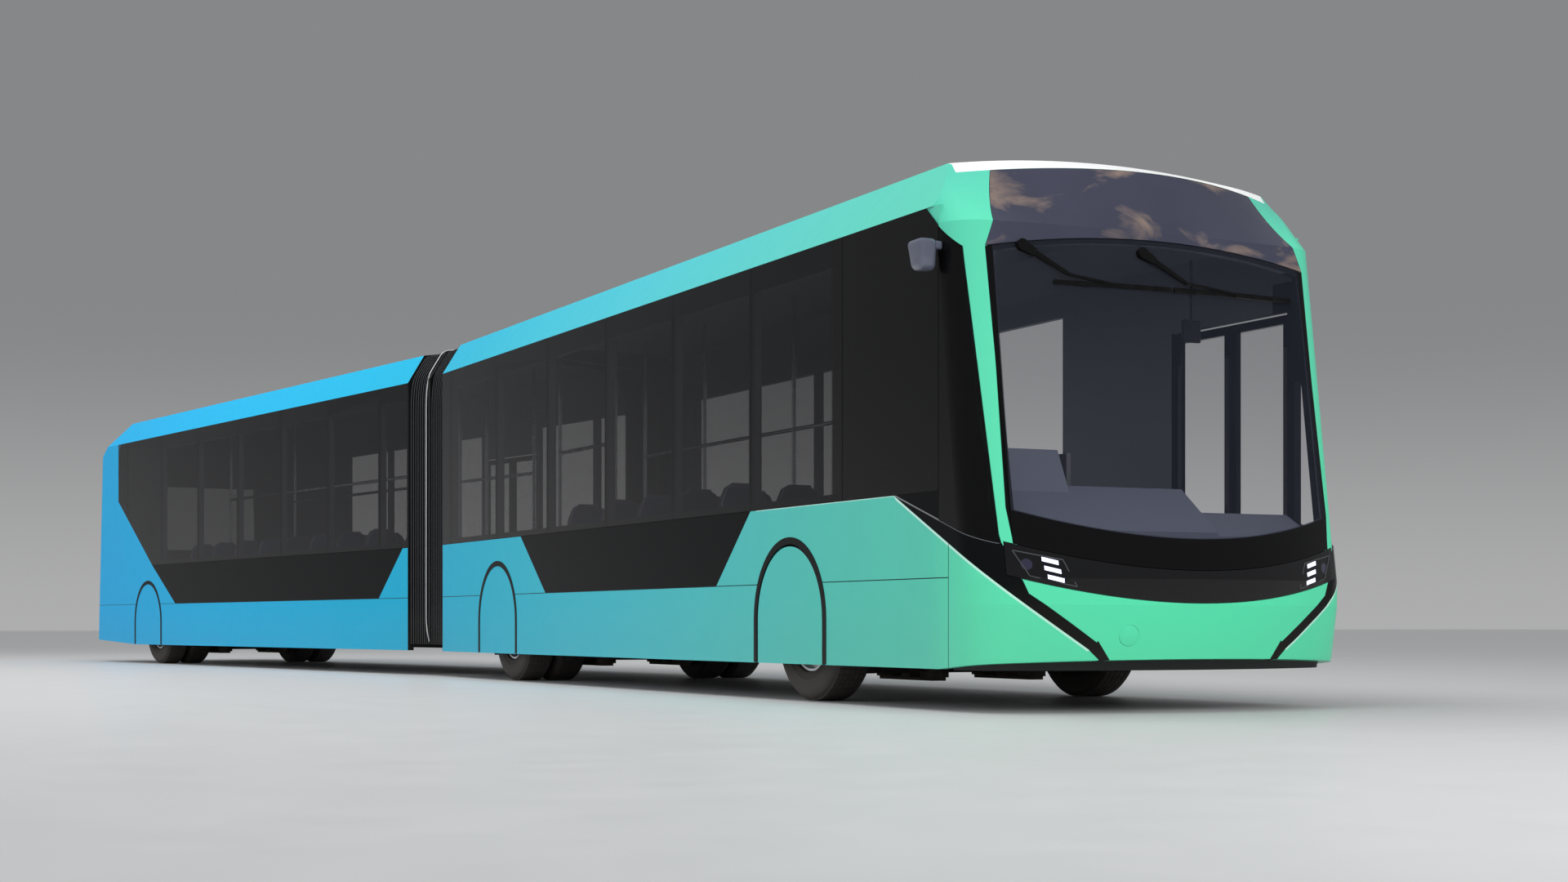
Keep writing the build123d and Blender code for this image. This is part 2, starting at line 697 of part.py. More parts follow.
def spring_pads(x):
    """Pads on an axle tube that carry the frame's rails."""
    return [
        block(
            x - 60, x + 60, s * RAIL_Y, s * (RAIL_Y + RAIL_W), BEAM_Z, FLOOR_Z - FLOOR_T - RAIL_BRIDGE
        )
        for _, s in SIDES
    ]


SPRING_X = 300.0
SPRING_R = 92.0
SPRING_Z = (150.0, FRAME_BOTTOM_Z - RAIL_BRIDGE)
SPRING_ARM_Z = (128.0, 150.0)


def air_springs(x):
    """Two trailing arms under an axle tube, with an air spring at each end under the rail."""
    pieces = []
    for _, s in SIDES:
        low, high = s * (RAIL_Y - 10), s * (RAIL_Y + RAIL_W + 10)
        mid = (low + high) / 2
        pieces.append(block(x - SPRING_X - 60, x + SPRING_X + 60, low, high, *SPRING_ARM_Z))
        pieces.append(block(x - 55, x + 55, low, high, SPRING_ARM_Z[0], BEAM_Z))
        for e in (-1, 1):
            middle_z = sum(SPRING_Z) / 2
            pieces.append(rod_z(x + e * SPRING_X, mid, SPRING_R, SPRING_Z[0], middle_z - 8))
            pieces.append(rod_z(x + e * SPRING_X, mid, SPRING_R - 18, middle_z - 8, middle_z + 8))
            pieces.append(rod_z(x + e * SPRING_X, mid, SPRING_R, middle_z + 8, SPRING_Z[1]))
    return pieces


def twin_axle(x):
    """A portal axle: low tube, raised ends, spindles for the twin wheels."""
    inner_y = TYRE_OUTER_Y - 2 * TYRE_W - TWIN_GAP
    tube = rod_y(x, BEAM_Z, BEAM_R, -inner_y + 40, inner_y - 40)
    pieces = [tube, *spring_pads(x), *air_springs(x)]
    for _, s in SIDES:
        pieces.append(
            block(x - 90, x + 90, s * (inner_y - 90), s * (inner_y - 20), BEAM_Z - BEAM_R, TYRE_R + 110)
        )
        end = TYRE_OUTER_Y - LIP - TWIN_DISH + TWIN_CAP - HUB_CAP - SPINDLE_END_GAP
        pieces.append(rod_y(x, TYRE_R, HUB_BORE_R, s * (inner_y - 60), s * end))
    return join(*pieces)


KINGPIN_Y = 1000.0
PIN_R = 30.0
FIST_HALF = 45.0
EYE_R = PIN_R + 8.0
DROP_Y = (680.0, 760.0)


def front_beam():
    """The dropped front beam with an eye at each end for the kingpin."""
    pieces = [rod_y(0, BEAM_Z, BEAM_R, -DROP_Y[0] - 20, DROP_Y[0] + 20), *spring_pads(0), *air_springs(0)]
    for _, s in SIDES:
        pieces.append(
            block(-70, 70, s * DROP_Y[0], s * DROP_Y[1], BEAM_Z - BEAM_R, TYRE_R + FIST_HALF)
        )
        pieces.append(
            block(
                -EYE_R, EYE_R, s * DROP_Y[0], s * KINGPIN_Y, TYRE_R - FIST_HALF, TYRE_R + FIST_HALF
            )
        )
        pieces.append(rod_z(0, s * KINGPIN_Y, EYE_R, TYRE_R - FIST_HALF, TYRE_R + FIST_HALF))
    beam = join(*pieces)
    return beam.cut(*[rod_z(0, s * KINGPIN_Y, PIN_R + RUNNING_CLEARANCE, 200, 800) for _, s in SIDES])


keep("front_axle", front_beam())
keep("middle_axle", twin_axle(MID_AXLE_X))

# ---- knuckles, steered covers, wheels
COVER_Y = HALF_WIDTH - COVER_T
STAY_Z = (964.0, 984.0)
YOKE_HALF = 150.0
PLATE_Y = (1045.0, 1057.0)
MAST_Y = (800.0, 830.0)
disc_line = TYRE_OUTER_Y - LIP - SINGLE_DISH
for side_name, side in SIDES:
    pin = rod_z(0, side * KINGPIN_Y, PIN_R, TYRE_R - YOKE_HALF, TYRE_R + YOKE_HALF)
    caps = [
        block(
            -60, 60, side * (KINGPIN_Y - 60), side * PLATE_Y[1],
            TYRE_R + e * (FIST_HALF + 10), TYRE_R + e * YOKE_HALF,
        )
        for e in (-1, 1)
    ]
    plate = block(
        -60, 60, side * PLATE_Y[0], side * PLATE_Y[1], TYRE_R - YOKE_HALF, TYRE_R + YOKE_HALF
    )
    spindle_end = disc_line + SINGLE_CAP - HUB_CAP - SPINDLE_END_GAP
    stub = rod_y(0, TYRE_R, HUB_BORE_R, side * PLATE_Y[0], side * spindle_end)
    arm = block(
        -50, 50, side * MAST_Y[0], side * (KINGPIN_Y - 40), TYRE_R + FIST_HALF + 15, TYRE_R + YOKE_HALF
    )
    mast = block(
        -50, 50, side * MAST_Y[0], side * MAST_Y[1], TYRE_R + FIST_HALF + 15, STAY_Z[1]
    )
    stay = block(-50, 50, side * MAST_Y[0], side * COVER_Y, *STAY_Z)
    keep(side_name + "_knuckle", join(pin, *caps, plate, stub, arm, mast, stay))
    cover = arch(0, COVER_R, side * COVER_Y, side * HALF_WIDTH) & block(
        -600, 600, side * 1100, side * 1400, SKIRT_Z, 2000
    )
    keep("front_" + side_name + "_wheel_cover", cover)
    wheel_tyre, wheel_rim = single_wheel(side)
    keep("front_" + side_name + "_tyre", wheel_tyre)
    keep("front_" + side_name + "_rim", wheel_rim)

for place, axle_x in (("middle", MID_AXLE_X), ("rear", REAR_AXLE_X)):
    covers = []
    for side_name, side in SIDES:
        tyres, twin_rim = twin_wheel(side)
        keep(place + "_" + side_name + "_tyres", *[t.moved(Location((axle_x, 0, 0))) for t in tyres])
        keep(place + "_" + side_name + "_rims", twin_rim.moved(Location((axle_x, 0, 0))))
        cover = arch(axle_x, FIXED_COVER_R, side * COVER_Y, side * HALF_WIDTH) & block(
            axle_x - 600, axle_x + 600, side * 1100, side * 1400, SKIRT_Z, 2000
        )
        reach = TWIN_BOX_HALF - BOX_WALL
        bar = block(
            axle_x - reach, axle_x + reach, side * (inner_half - COVER_BAR), side * inner_half,
            ARCH_Z - COVER_BAR, ARCH_Z + COVER_BAR,
        )
        spacer = block(
            axle_x - COVER_R / 2, axle_x + COVER_R / 2, side * inner_half, side * COVER_Y,
            ARCH_Z - COVER_BAR, ARCH_Z + COVER_BAR,
        )
        covers.append(join(cover, spacer, bar))
    keep(place + "_wheel_covers", *covers)

# ---- doors
for doorway in (*FRONT_DOORWAYS, *REAR_DOORWAYS):
    middle = (doorway["low"] + doorway["high"]) / 2
    rear_edge, front_edge = doorway["low"] + DOOR_GAP, doorway["high"] - DOOR_GAP
    keep(
        doorway["name"] + "_rear_leaf",
        *door_leaf(rear_edge, middle - DOOR_GAP / 2, 1, rear_edge + DOOR_T / 2),
    )
    keep(
        doorway["name"] + "_front_leaf",
        *door_leaf(middle + DOOR_GAP / 2, front_edge, 1, front_edge - DOOR_T / 2),
    )

# ---- saloon furniture
SEAT_WIDTH = 420.0
SEAT_GAP = 20.0
SEAT_TOP = 450.0
SEAT_BACK_TOP = 1130.0
SEAT_BEAM = dict(x0=80.0, x1=300.0, drop=150.0, lap=60.0)
SEAT_FOOT = dict(x0=120.0, x1=260.0, y0=640.0, y1=760.0)


def seat_pair(x, side):
    """Two forward-facing seats on one beam and foot, against the wall."""
    floor = FLOOR_Z
    profile = [
        (x + 420, floor + SEAT_TOP - 80), (x + 420, floor + SEAT_TOP), (x + 50, floor + SEAT_TOP - 20),
        (x - 40, floor + 830), (x - 75, floor + SEAT_BACK_TOP), (x - 125, floor + SEAT_BACK_TOP),
        (x - 95, floor + 800), (x - 20, floor + SEAT_TOP - 90),
    ]
    wall_y = inner_half - 20
    pads = [
        side_prism(profile, side * (wall_y - k * (SEAT_WIDTH + SEAT_GAP)),
                   side * (wall_y - k * (SEAT_WIDTH + SEAT_GAP) - SEAT_WIDTH))
        for k in (0, 1)
    ]
    under = floor + SEAT_TOP
    beam = block(
        x + SEAT_BEAM["x0"], x + SEAT_BEAM["x1"], side * wall_y,
        side * (wall_y - 2 * SEAT_WIDTH - SEAT_GAP),
        under - SEAT_BEAM["drop"], under - SEAT_BEAM["lap"],
    )
    foot = block(
        x + SEAT_FOOT["x0"], x + SEAT_FOOT["x1"], side * SEAT_FOOT["y0"], side * SEAT_FOOT["y1"],
        floor, under - SEAT_BEAM["lap"],
    )
    return join(*pads, beam, foot)


SEAT_PITCH = 760.0
right_rows = [-1250.0 - SEAT_PITCH * k for k in range(5)]
left_rows = [-1330.0, -4000.0, -4760.0]
front_seats = [seat_pair(x, -1) for x in right_rows] + [seat_pair(x, 1) for x in left_rows]
keep("front_seats", *front_seats)

POLE_R = 17.0
POLE_Y = 425.0
POLE_GAP = 0.3


GRAB_Z = 2080.0


def poles(places):
    """Handrails: floor to ceiling poles, one to each (x, side), and a grab rail along each side."""
    uprights = [
        rod_z(x, s * POLE_Y, POLE_R, FLOOR_Z, CROWN_Z - WALL - POLE_GAP)
        & roof_profile(x - 100, x + 100, WALL + POLE_GAP)
        for x, s in places
    ]
    sets = []
    for _, side in SIDES:
        row = [x for x, s in places if s == side]
        rail = rod_x(side * POLE_Y, GRAB_Z, POLE_R, min(row), max(row))
        sets.append(join(rail, *[u for u, (_, s) in zip(uprights, places) if s == side]))
    return sets


keep(
    "front_handrails",
    *poles(((-1700.0, 1), (-3400.0, 1), (-5200.0, 1), (-5200.0, -1), (-6600.0, -1), (-6600.0, 1))),
)

cab_wall = join(
    block(CAB_X0, CAB_X0 + 30, -inner_half + 5, -CAB_Y - 5, CAB_FLOOR_Z, 2150),
    block(CAB_X0, FACE_X - 130, -CAB_Y - 35, -CAB_Y - 5, CAB_FLOOR_Z, 1500),
)
keep("cab_partition", cab_wall)
DRIVER_Y = -740.0
seat_profile = [
    (1000, 1010), (1460, 1010), (1460, 1110), (1120, 1100), (1010, 1800), (900, 1800), (980, 1080),
]
driver_seat = join(
    side_prism(seat_profile, DRIVER_Y - 240, DRIVER_Y + 240),
    block(1130, 1330, DRIVER_Y - 120, DRIVER_Y + 120, CAB_FLOOR_Z, 1030),
)
keep("driver_seat", driver_seat)
DASH = dict(right=-1150.0, middle=300.0, left=1000.0, binnacle=(-960.0, -520.0))
DASH_PLAN = (
    (1700, -1190), (2120, -1190), (2290, -1060), (2420, -700), (2420, 700), (2330, 1000), (1700, 1000),
)
DASH_PROFILE = (
    (2010, FLOOR_Z), (2300, FLOOR_Z), (2420, 1020), (2060, 1290), (1930, 1290), (1850, 1180),
    (1870, 980), (2010, 860),
)
SHELF_PROFILE = ((2120, FLOOR_Z), (2300, FLOOR_Z), (2420, 1000), (2150, 1150), (2050, 1150), (2120, 900))
BINNACLE_PROFILE = ((1850, 1180), (2120, 1240), (1990, 1500), (1880, 1500), (1820, 1400))
dash = join(
    side_prism(DASH_PROFILE, DASH["right"], DASH["middle"]),
    side_prism(SHELF_PROFILE, DASH["middle"] - 10, DASH["left"]),
    side_prism(BINNACLE_PROFILE, *DASH["binnacle"]),
)
dash_plan = Wire.make_polygon([(x, y, 0) for x, y in DASH_PLAN], close=True)
dash = dash & Solid.extrude(Face(dash_plan), Vector(0, 0, 2000))
keep("dashboard", dash)
STEER_TILT = 30.0
STEER_RING_R = 225.0
STEER_GRIP = 15.0
grip = Wire.make_polygon(
    [
        (
            STEER_RING_R + STEER_GRIP * math.cos(math.radians(a)), 0,
            STEER_GRIP * math.sin(math.radians(a)),
        )
        for a in range(0, 360, 60)
    ],
    close=True,
)
ring = Solid.revolve(Face(grip), 360, Axis.Z)
spoke = block(-STEER_RING_R, STEER_RING_R, -13, 13, -8, 8)
boss = Solid.make_cylinder(55, 40, Plane(origin=(0, 0, -32)))
steering_wheel = join(ring, spoke, boss).moved(
    Location((1640, DRIVER_Y, 1260)) * Location((0, 0, 0), (0, 1, 0), -STEER_TILT)
)
column = Solid.make_cylinder(
    30, 420, Plane(origin=(1655, DRIVER_Y, 1234), z_dir=(0.5, 0, -0.866))
)
NODES["dashboard"] += solids_of(join(steering_wheel, column) - dash)

# ---- camera pods and wipers
POD = dict(x0=-85.0, x1=85.0, reach=165.0, z0=2480.0, z1=2665.0)
POD_X = dict(right=1925.0, left=1685.0)
pods = []
for side_name, s in SIDES:
    x = POD_X[side_name]
    low, high = x + POD["x0"], x + POD["x1"]
    outline = [
        (low, POD["z0"] + 40), (low + 30, POD["z0"]), (high - 20, POD["z0"]),
        (high, POD["z0"] + 60), (high - 10, POD["z1"]), (low + 10, POD["z1"]),
    ]
    pods.append(side_prism(outline, s * HALF_WIDTH, s * (HALF_WIDTH + POD["reach"])))
keep("camera_pods", *pods)
wiper_outer = envelope(NOSE_LEVELS, FRONT_FRAME_X, -34)
wiper_skin = wiper_outer - envelope(NOSE_LEVELS, FRONT_FRAME_X, -4)
WIPERS = (
    dict(pivot=-891.0, elbow=-617.0, low=-715.0, high=58.0),
    dict(pivot=-111.0, elbow=163.0, low=75.0, high=960.0),
)
WIPER_PIVOT_Z = 2620.0
WIPER_ELBOW_Z = 2459.0
BLADE_Z = (2405.0, 2431.0)
ARM_HALF = 17.0
wipers = []
for w in WIPERS:
    corners = [
        (w["pivot"] - ARM_HALF, WIPER_PIVOT_Z - ARM_HALF), (w["elbow"] - ARM_HALF, BLADE_Z[0]),
        (w["elbow"] + ARM_HALF, WIPER_ELBOW_Z), (w["pivot"] + ARM_HALF, WIPER_PIVOT_Z + ARM_HALF),
    ]
    arm = Wire.make_polygon([(FACE_X, y, z) for y, z in corners], close=True)
    blade = block(FACE_X, FACE_X + 1000, w["low"], w["high"], *BLADE_Z)
    boss = rod_x(w["pivot"], WIPER_PIVOT_Z, 26, FACE_X, FACE_X + 1000) & (wiper_outer - outer_front)
    blade_and_arm = wiper_skin & join(Solid.extrude(Face(arm), Vector(1000, 0, 0)), blade)
    wipers.append(join(blade_and_arm, boss))
keep("wipers", *wipers)

# ---------------------------------------------------------------- rear section, drawn straight
rear_seams = seams_between(REAR_SEAM_X, REAR_BAND_X, REAR_FRAME_X)
outer_rear = rear_envelope(0)
inner_rear = rear_envelope(WALL)
glass_rear = rear_envelope(GLASS)
REAR_BAND = (
    (REAR_FRAME_X, 0), (REAR_FRAME_X, BAND_Z), (REAR_BAND_X, BAND_Z), (REAR_BAND_X, REAR_BAND_KINK_Z),
    (REAR_BAND_FOOT_X, WINDOW_Z), (REAR_BAND_FOOT_X, 0),
)
FULL_REAR_SIDE = (
    (REAR_FRAME_X, 0), (REAR_FRAME_X, BAND_Z), (TAIL_CAP_X, BAND_Z), (TAIL_CAP_X, 0),
)
for side_name, side in SIDES:
    doors = REAR_DOORWAYS if side > 0 else ()
    bays = window_bays([x for x in rear_seams if x > -16400], doors)
    outer = side * HALF_WIDTH
    back = side * (HALF_WIDTH - GLASS)
    wall = side_wall(side, TAIL_CAP_X, REAR_FRAME_X, bays, doors, REAR_AXLE_X, FULL_REAR_SIDE)
    behind = block(TAIL_CAP_X, REAR_BAND_X, back, outer, WINDOW_Z, BAND_Z)
    corner = side_prism(
        [(REAR_BAND_X, WINDOW_Z), (REAR_BAND_FOOT_X, WINDOW_Z), (REAR_BAND_X, REAR_BAND_KINK_Z)], back, outer
    )
    skirt_cut = under_skirt(TAIL_SKIRT, side * (HALF_WIDTH - WALL - 10), side * (HALF_WIDTH + 10))
    keep("rear_" + side_name + "_wall", join(wall, behind, corner).cut(skirt_cut))
keep(
    "rear_side_windows",
    *[
        pane
        for _, side in SIDES
        for pane in side_panes(side, rear_seams, REAR_DOORWAYS if side > 0 else (), REAR_BAND)
    ],
)
rear_roof_zone = block(TAIL_CAP_X, REAR_FRAME_X, -2000, 2000, BAND_Z, 4000)
keep("rear_roof", (outer_rear & rear_roof_zone) - inner_rear)
tail_zone = block(TAIL_CAP_X - 2000, TAIL_CAP_X, -2000, 2000, SKIRT_Z, 4000) - under_skirt(
    TAIL_SKIRT, -2500, 2500
)


REAR_PANE = dict(sill_z=1500.0, sill_half=HALF_WIDTH - 295.0, head_z=2420.0, head_half=HALF_WIDTH - 335.0)


def tail_prism(margin):
    """The rear window's outline as a prism through the tail."""
    low, high = REAR_PANE["sill_z"] + margin, REAR_PANE["head_z"] - margin
    foot, head = REAR_PANE["sill_half"] - margin, REAR_PANE["head_half"] - margin
    corners = [(-foot, low), (foot, low), (head, high), (-head, high)]
    edges = [
        Edge.make_line((TAIL_CAP_X, *a), (TAIL_CAP_X, *b))
        for a, b in zip(corners, corners[1:] + corners[:1])
    ]
    return front_prism(edges, TAIL_CAP_X, TAIL_CAP_X - 1500)


tail_shell = outer_rear & tail_zone
tail = (tail_shell - inner_rear) - tail_prism(BOND)
keep("tail_cap", tail - (tail_prism(0) - glass_rear))
keep("rear_window", (tail_shell & tail_prism(GLASS_GAP)) - glass_rear)

rear_boxes = [wheel_box(REAR_AXLE_X, TWIN_BOX_HALF, TWIN_BOX_Y, s) for _, s in SIDES]
keep("rear_floor", floor_plate(TAIL_CAP_X - 400, REAR_FRAME_X, rear_boxes, []))
rear_members = (-8700.0, -9700.0, -10700.0, -11700.0, -12700.0, -13700.0, -14700.0, -15700.0, -17300.0, -18200.0)
rear_frame = frame(-18300.0, REAR_FRAME_X - 5, rear_members).cut(
    block(REAR_AXLE_X - AXLE_SLOT, REAR_AXLE_X + AXLE_SLOT, -2000, 2000, 0, FLOOR_Z - FLOOR_T - RAIL_BRIDGE)
)
rear_arm = join(
    block(REAR_FRAME_X - 60, PIVOT_X, -PIVOT_ARM_HALF, PIVOT_ARM_HALF, *REAR_PLATE_Z),
    rod_z(PIVOT_X, 0, BEARING_R, *REAR_PLATE_Z),
    block(REAR_FRAME_X - 200, REAR_FRAME_X - 60, -PIVOT_ARM_HALF, PIVOT_ARM_HALF, REAR_PLATE_Z[0], FLOOR_Z - FLOOR_T),
).cut(rod_z(PIVOT_X, 0, PIVOT_PIN_R + RUNNING_CLEARANCE, 0, 1000))
keep("rear_frame", join(rear_frame, rear_arm))
keep("rear_axle", twin_axle(REAR_AXLE_X))
rear_right_rows = [-9800.0 - SEAT_PITCH * k for k in range(8)]
rear_left_rows = [-9800.0, -12700.0, -13460.0, -14220.0, -14980.0]
keep(
    "rear_seats",
    *[seat_pair(x, -1) for x in rear_right_rows],
    *[seat_pair(x, 1) for x in rear_left_rows],
)
keep(
    "rear_handrails",
    *poles(((-9200.0, 1), (-9200.0, -1), (-10300.0, 1), (-12200.0, 1), (-15800.0, 1), (-15800.0, -1))),
)
keep("battery_pack", block(-18340, -17150, -1100, 1100, FLOOR_Z, 1350))

REAR_NODES = [n for n in NODES if n.startswith("rear_")] + ["tail_cap", "battery_pack"]


# ---------------------------------------------------------------- turntable and bellows
def ring_wire(inset, station, share, low):
    """The section outline above a level, on a plane turned about the pivot by a share of the bend."""
    half = HALF_WIDTH - inset
    top_half = COVE_HALF_WIDTH - inset * 0.6
    points = [
        (half, low), (half, BAND_Z - inset * 0.3), (top_half, COVE_TOP_Z - inset), (0, CROWN_Z - inset),
        (-top_half, COVE_TOP_Z - inset), (-half, BAND_Z - inset * 0.3), (-half, low),
    ]
    wire = Wire.make_polygon([(station, y, z) for y, z in points], close=True)
    return wire.moved(pivot_turn(share))


def pivot_turn(share):
    """A turn about the pivot's upright axis by a share of the bend."""
    place = Location((PIVOT_X, 0, 0))
    return place * Location((0, 0, 0), (0, 0, 1), BEND_DEG * share) * place.inverse()


def bellows_half(from_station, to_station, from_share, to_share):
    """One folded half of the bellows, between an end frame and the middle hoop."""
    count = 2 * FOLDS

    def skin_solid(inset, low):
        wires = []
        for k in range(count + 1):
            t = k / count
            station = from_station + (to_station - from_station) * t
            share = from_share + (to_share - from_share) * t
            depth = FOLD_DEPTH if k % 2 else 0
            wires.append(ring_wire(BELLOWS_INSET + inset + depth, station, share, low))
        return Solid.make_loft(wires, ruled=True)

    return skin_solid(0, BELLOWS_BOTTOM_Z) - skin_solid(BELLOWS_T, 0)


half_hoop = HOOP_T / 2
keep(
    "bellows",
    bellows_half(FRONT_FRAME_X, PIVOT_X + half_hoop, 0, 0.5),
    bellows_half(PIVOT_X - half_hoop, REAR_FRAME_X, 0.5, 1),
)
hoop_outer = Solid.extrude(
    Face(ring_wire(BELLOWS_INSET, PIVOT_X - half_hoop, 0, FLOOR_Z - FLOOR_T)), Vector(HOOP_T, 0, 0)
)
hoop_inner = Solid.extrude(
    Face(ring_wire(BELLOWS_INSET + HOOP_DEPTH, PIVOT_X - half_hoop - 5, 0, FLOOR_Z)),
    Vector(HOOP_T + 10, 0, 0),
)
deck = rod_z(PIVOT_X, 0, DECK_R, FLOOR_Z - FLOOR_T, FLOOR_Z)
keep("turntable_hoop", join(hoop_outer - hoop_inner, deck).moved(pivot_turn(0.5)))

# ---------------------------------------------------------------- place and write
for name in REAR_NODES:
    NODES[name] = [solid.moved(pivot_turn(1)) for solid in NODES[name]]

boxes = [solid.bounding_box() for solids in NODES.values() for solid in solids]
shift = Location(
    (
        -(min(b.min.X for b in boxes) + max(b.max.X for b in boxes)) / 2,
        -(min(b.min.Y for b in boxes) + max(b.max.Y for b in boxes)) / 2,
        -min(b.min.Z for b in boxes),
    )
)
print("shift", shift.position)
os.makedirs("parts", exist_ok=True)
for name, solids in NODES.items():
    placed = [solid.moved(shift) for solid in solids]
    shape = placed[0] if len(placed) == 1 else Compound(children=placed)
    shape.label = name
    export_step(shape, "parts/" + name + ".step")
print(len(NODES), "nodes")
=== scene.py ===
# %% [markdown]
# # Dressing an articulated bus in Blender
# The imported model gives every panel, pane and wheel at its real place. This lesson
# adds the studio, the paint and glass, and the small pieces that make it a bus.
# Everything is in metres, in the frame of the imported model.

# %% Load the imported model
import json
import math

import bmesh
import bpy
from mathutils import Matrix, Vector


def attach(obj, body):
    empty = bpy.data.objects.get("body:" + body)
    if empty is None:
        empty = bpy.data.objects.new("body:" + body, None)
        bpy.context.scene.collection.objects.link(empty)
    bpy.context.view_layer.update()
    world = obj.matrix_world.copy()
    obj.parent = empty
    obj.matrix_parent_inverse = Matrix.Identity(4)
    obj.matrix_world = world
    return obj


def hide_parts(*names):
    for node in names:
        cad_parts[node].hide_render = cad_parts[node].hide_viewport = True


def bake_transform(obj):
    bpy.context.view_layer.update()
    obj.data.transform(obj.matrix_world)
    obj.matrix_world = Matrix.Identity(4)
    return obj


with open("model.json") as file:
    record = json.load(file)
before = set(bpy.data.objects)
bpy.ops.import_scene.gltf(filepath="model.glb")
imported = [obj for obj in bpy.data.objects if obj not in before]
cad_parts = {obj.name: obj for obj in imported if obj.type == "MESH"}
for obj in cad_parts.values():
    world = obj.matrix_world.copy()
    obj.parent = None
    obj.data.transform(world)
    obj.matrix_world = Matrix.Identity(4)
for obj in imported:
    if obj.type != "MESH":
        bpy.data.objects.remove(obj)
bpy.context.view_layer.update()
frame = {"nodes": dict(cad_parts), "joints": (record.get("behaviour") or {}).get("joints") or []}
NODES = frame["nodes"]
JOINTS = {joint["name"]: joint for joint in frame["joints"]}

# %% [markdown]
# ## Two places to measure from
# The bus stands bent at its joint. Each section is easiest to describe as if it stood
# straight, with x = 0 at the front axle. These two matrices take a point of either
# section from that straight drawing to where it stands.

# %% From the straight drawing to the standing bus
PIVOT_X = -8.056
BEND = math.radians(8.37)
AXLE_X = {"front": 0.0, "middle": -5.877, "rear": -16.477}
SIDE_Y = 1.275
pivot = Vector(JOINTS["articulation"]["pos_m"])
SHIFT = Vector((pivot.x - PIVOT_X, pivot.y, 0.0))
FRONT = Matrix.Translation(SHIFT)
REAR = (
    Matrix.Translation((pivot.x, pivot.y, 0.0))
    @ Matrix.Rotation(BEND, 4, "Z")
    @ Matrix.Translation((-PIVOT_X, 0.0, 0.0))
)
SECTIONS = {"front_section": FRONT, "rear_section": REAR}
print("front axle at", tuple(round(v, 3) for v in SHIFT))

# %% [markdown]
# ## The camera
# A long bus seen from low beside its front corner. A shift of the lens keeps the
# uprights upright, as an architect's camera does, so the camera itself stays level.

# %% Camera
EYE = Vector((12.848, -7.527, 0.4895))
YAW = math.radians(64.18)


def add_object(name, data):
    """Put a new object in the scene."""
    made = bpy.data.objects.new(name, data)
    bpy.context.scene.collection.objects.link(made)
    return made


camera_data = bpy.data.cameras.new("camera")
camera_data.lens = 51.0
camera_data.shift_y = 0.1173
camera_data.clip_end = 400.0
camera = add_object("camera", camera_data)
camera.location = FRONT @ EYE
camera.rotation_euler = (math.radians(90.0), 0.0, YAW)
bpy.context.scene.camera = camera
print("camera at", tuple(round(v, 3) for v in camera.location))

# %% [markdown]
# ## Fields: arithmetic that adds nodes
# A material is a small network of nodes, and laying each one by hand is slow to read.
# A field stands for one output of a node. Adding, subtracting or multiplying fields adds
# the node that does it, so the patterns below read as plain arithmetic.

# %% Fields and nodes
class Field:
    """A value that nodes work out at every point of a surface."""

    def __init__(self, socket):
        self.socket, self.tree = socket, socket.id_data

    def calc(self, operation, *values, **settings):
        """One step of arithmetic, with this field as its first value."""
        return node(self.tree, "Math", (self, *values), operation=operation, **settings)

    def __add__(self, other):
        return self.calc("ADD", other)

    def __sub__(self, other):
        return self.calc("SUBTRACT", other)

    def __rsub__(self, other):
        return self.calc("MULTIPLY_ADD", -1.0, other)

    def __mul__(self, other):
        return self.calc("MULTIPLY", other)

    def __neg__(self):
        return self.calc("MULTIPLY", -1.0)

    def __abs__(self):
        return self.calc("ABSOLUTE")


def feed(value, target):
    """Link a field or an output to an input, or write a plain value in it."""
    value = getattr(value, "socket", value)
    if isinstance(value, bpy.types.NodeSocket):
        target.id_data.links.new(value, target)
    else:
        target.default_value = value


def node(tree, kind, inputs=(), out=0, **settings):
    """Add a node, set it up, feed its inputs in order, and return one output as a field."""
    made = tree.nodes.new("ShaderNode" + kind)
    for name, value in settings.items():
        setattr(made, name, value)
    for index, value in (inputs.items() if isinstance(inputs, dict) else enumerate(inputs)):
        feed(value, made.inputs[index])
    return Field(made.outputs[out])


def parts(vector):
    """The x, y and z of a vector field."""
    first = node(vector.tree, "SeparateXYZ", (vector,))
    return [Field(output) for output in first.socket.node.outputs]


def mixed(factor, first, second):
    """A colour between two others."""
    inputs = {0: factor, 6: first, 7: second}
    return node(factor.tree, "Mix", inputs, out=2, data_type="RGBA")


def level(factor, first, second):
    """A number between two others."""
    inputs = {0: factor, 2: first, 3: second}
    return node(factor.tree, "Mix", inputs, data_type="FLOAT")


def group(name, inputs, outputs):
    """A node group: its tree, its inputs as named fields, and its outputs to feed."""
    tree = bpy.data.node_groups.new(name, "ShaderNodeTree")
    for label, kind, value in inputs:
        socket = tree.interface.new_socket(label, in_out="INPUT", socket_type="NodeSocket" + kind)
        if value is not None:
            socket.default_value = value
    for label, kind in outputs:
        tree.interface.new_socket(label, in_out="OUTPUT", socket_type="NodeSocket" + kind)
    given = tree.nodes.new("NodeGroupInput").outputs
    fields = {label: Field(given[label]) for label, _, _ in inputs}
    return tree, fields, tree.nodes.new("NodeGroupOutput").inputs


def placed(tree, source, **values):
    """Place a node group in a material with its own values."""
    made = tree.nodes.new("ShaderNodeGroup")
    made.node_tree = source
    for label, value in values.items():
        feed(value, made.inputs[label])
    return made


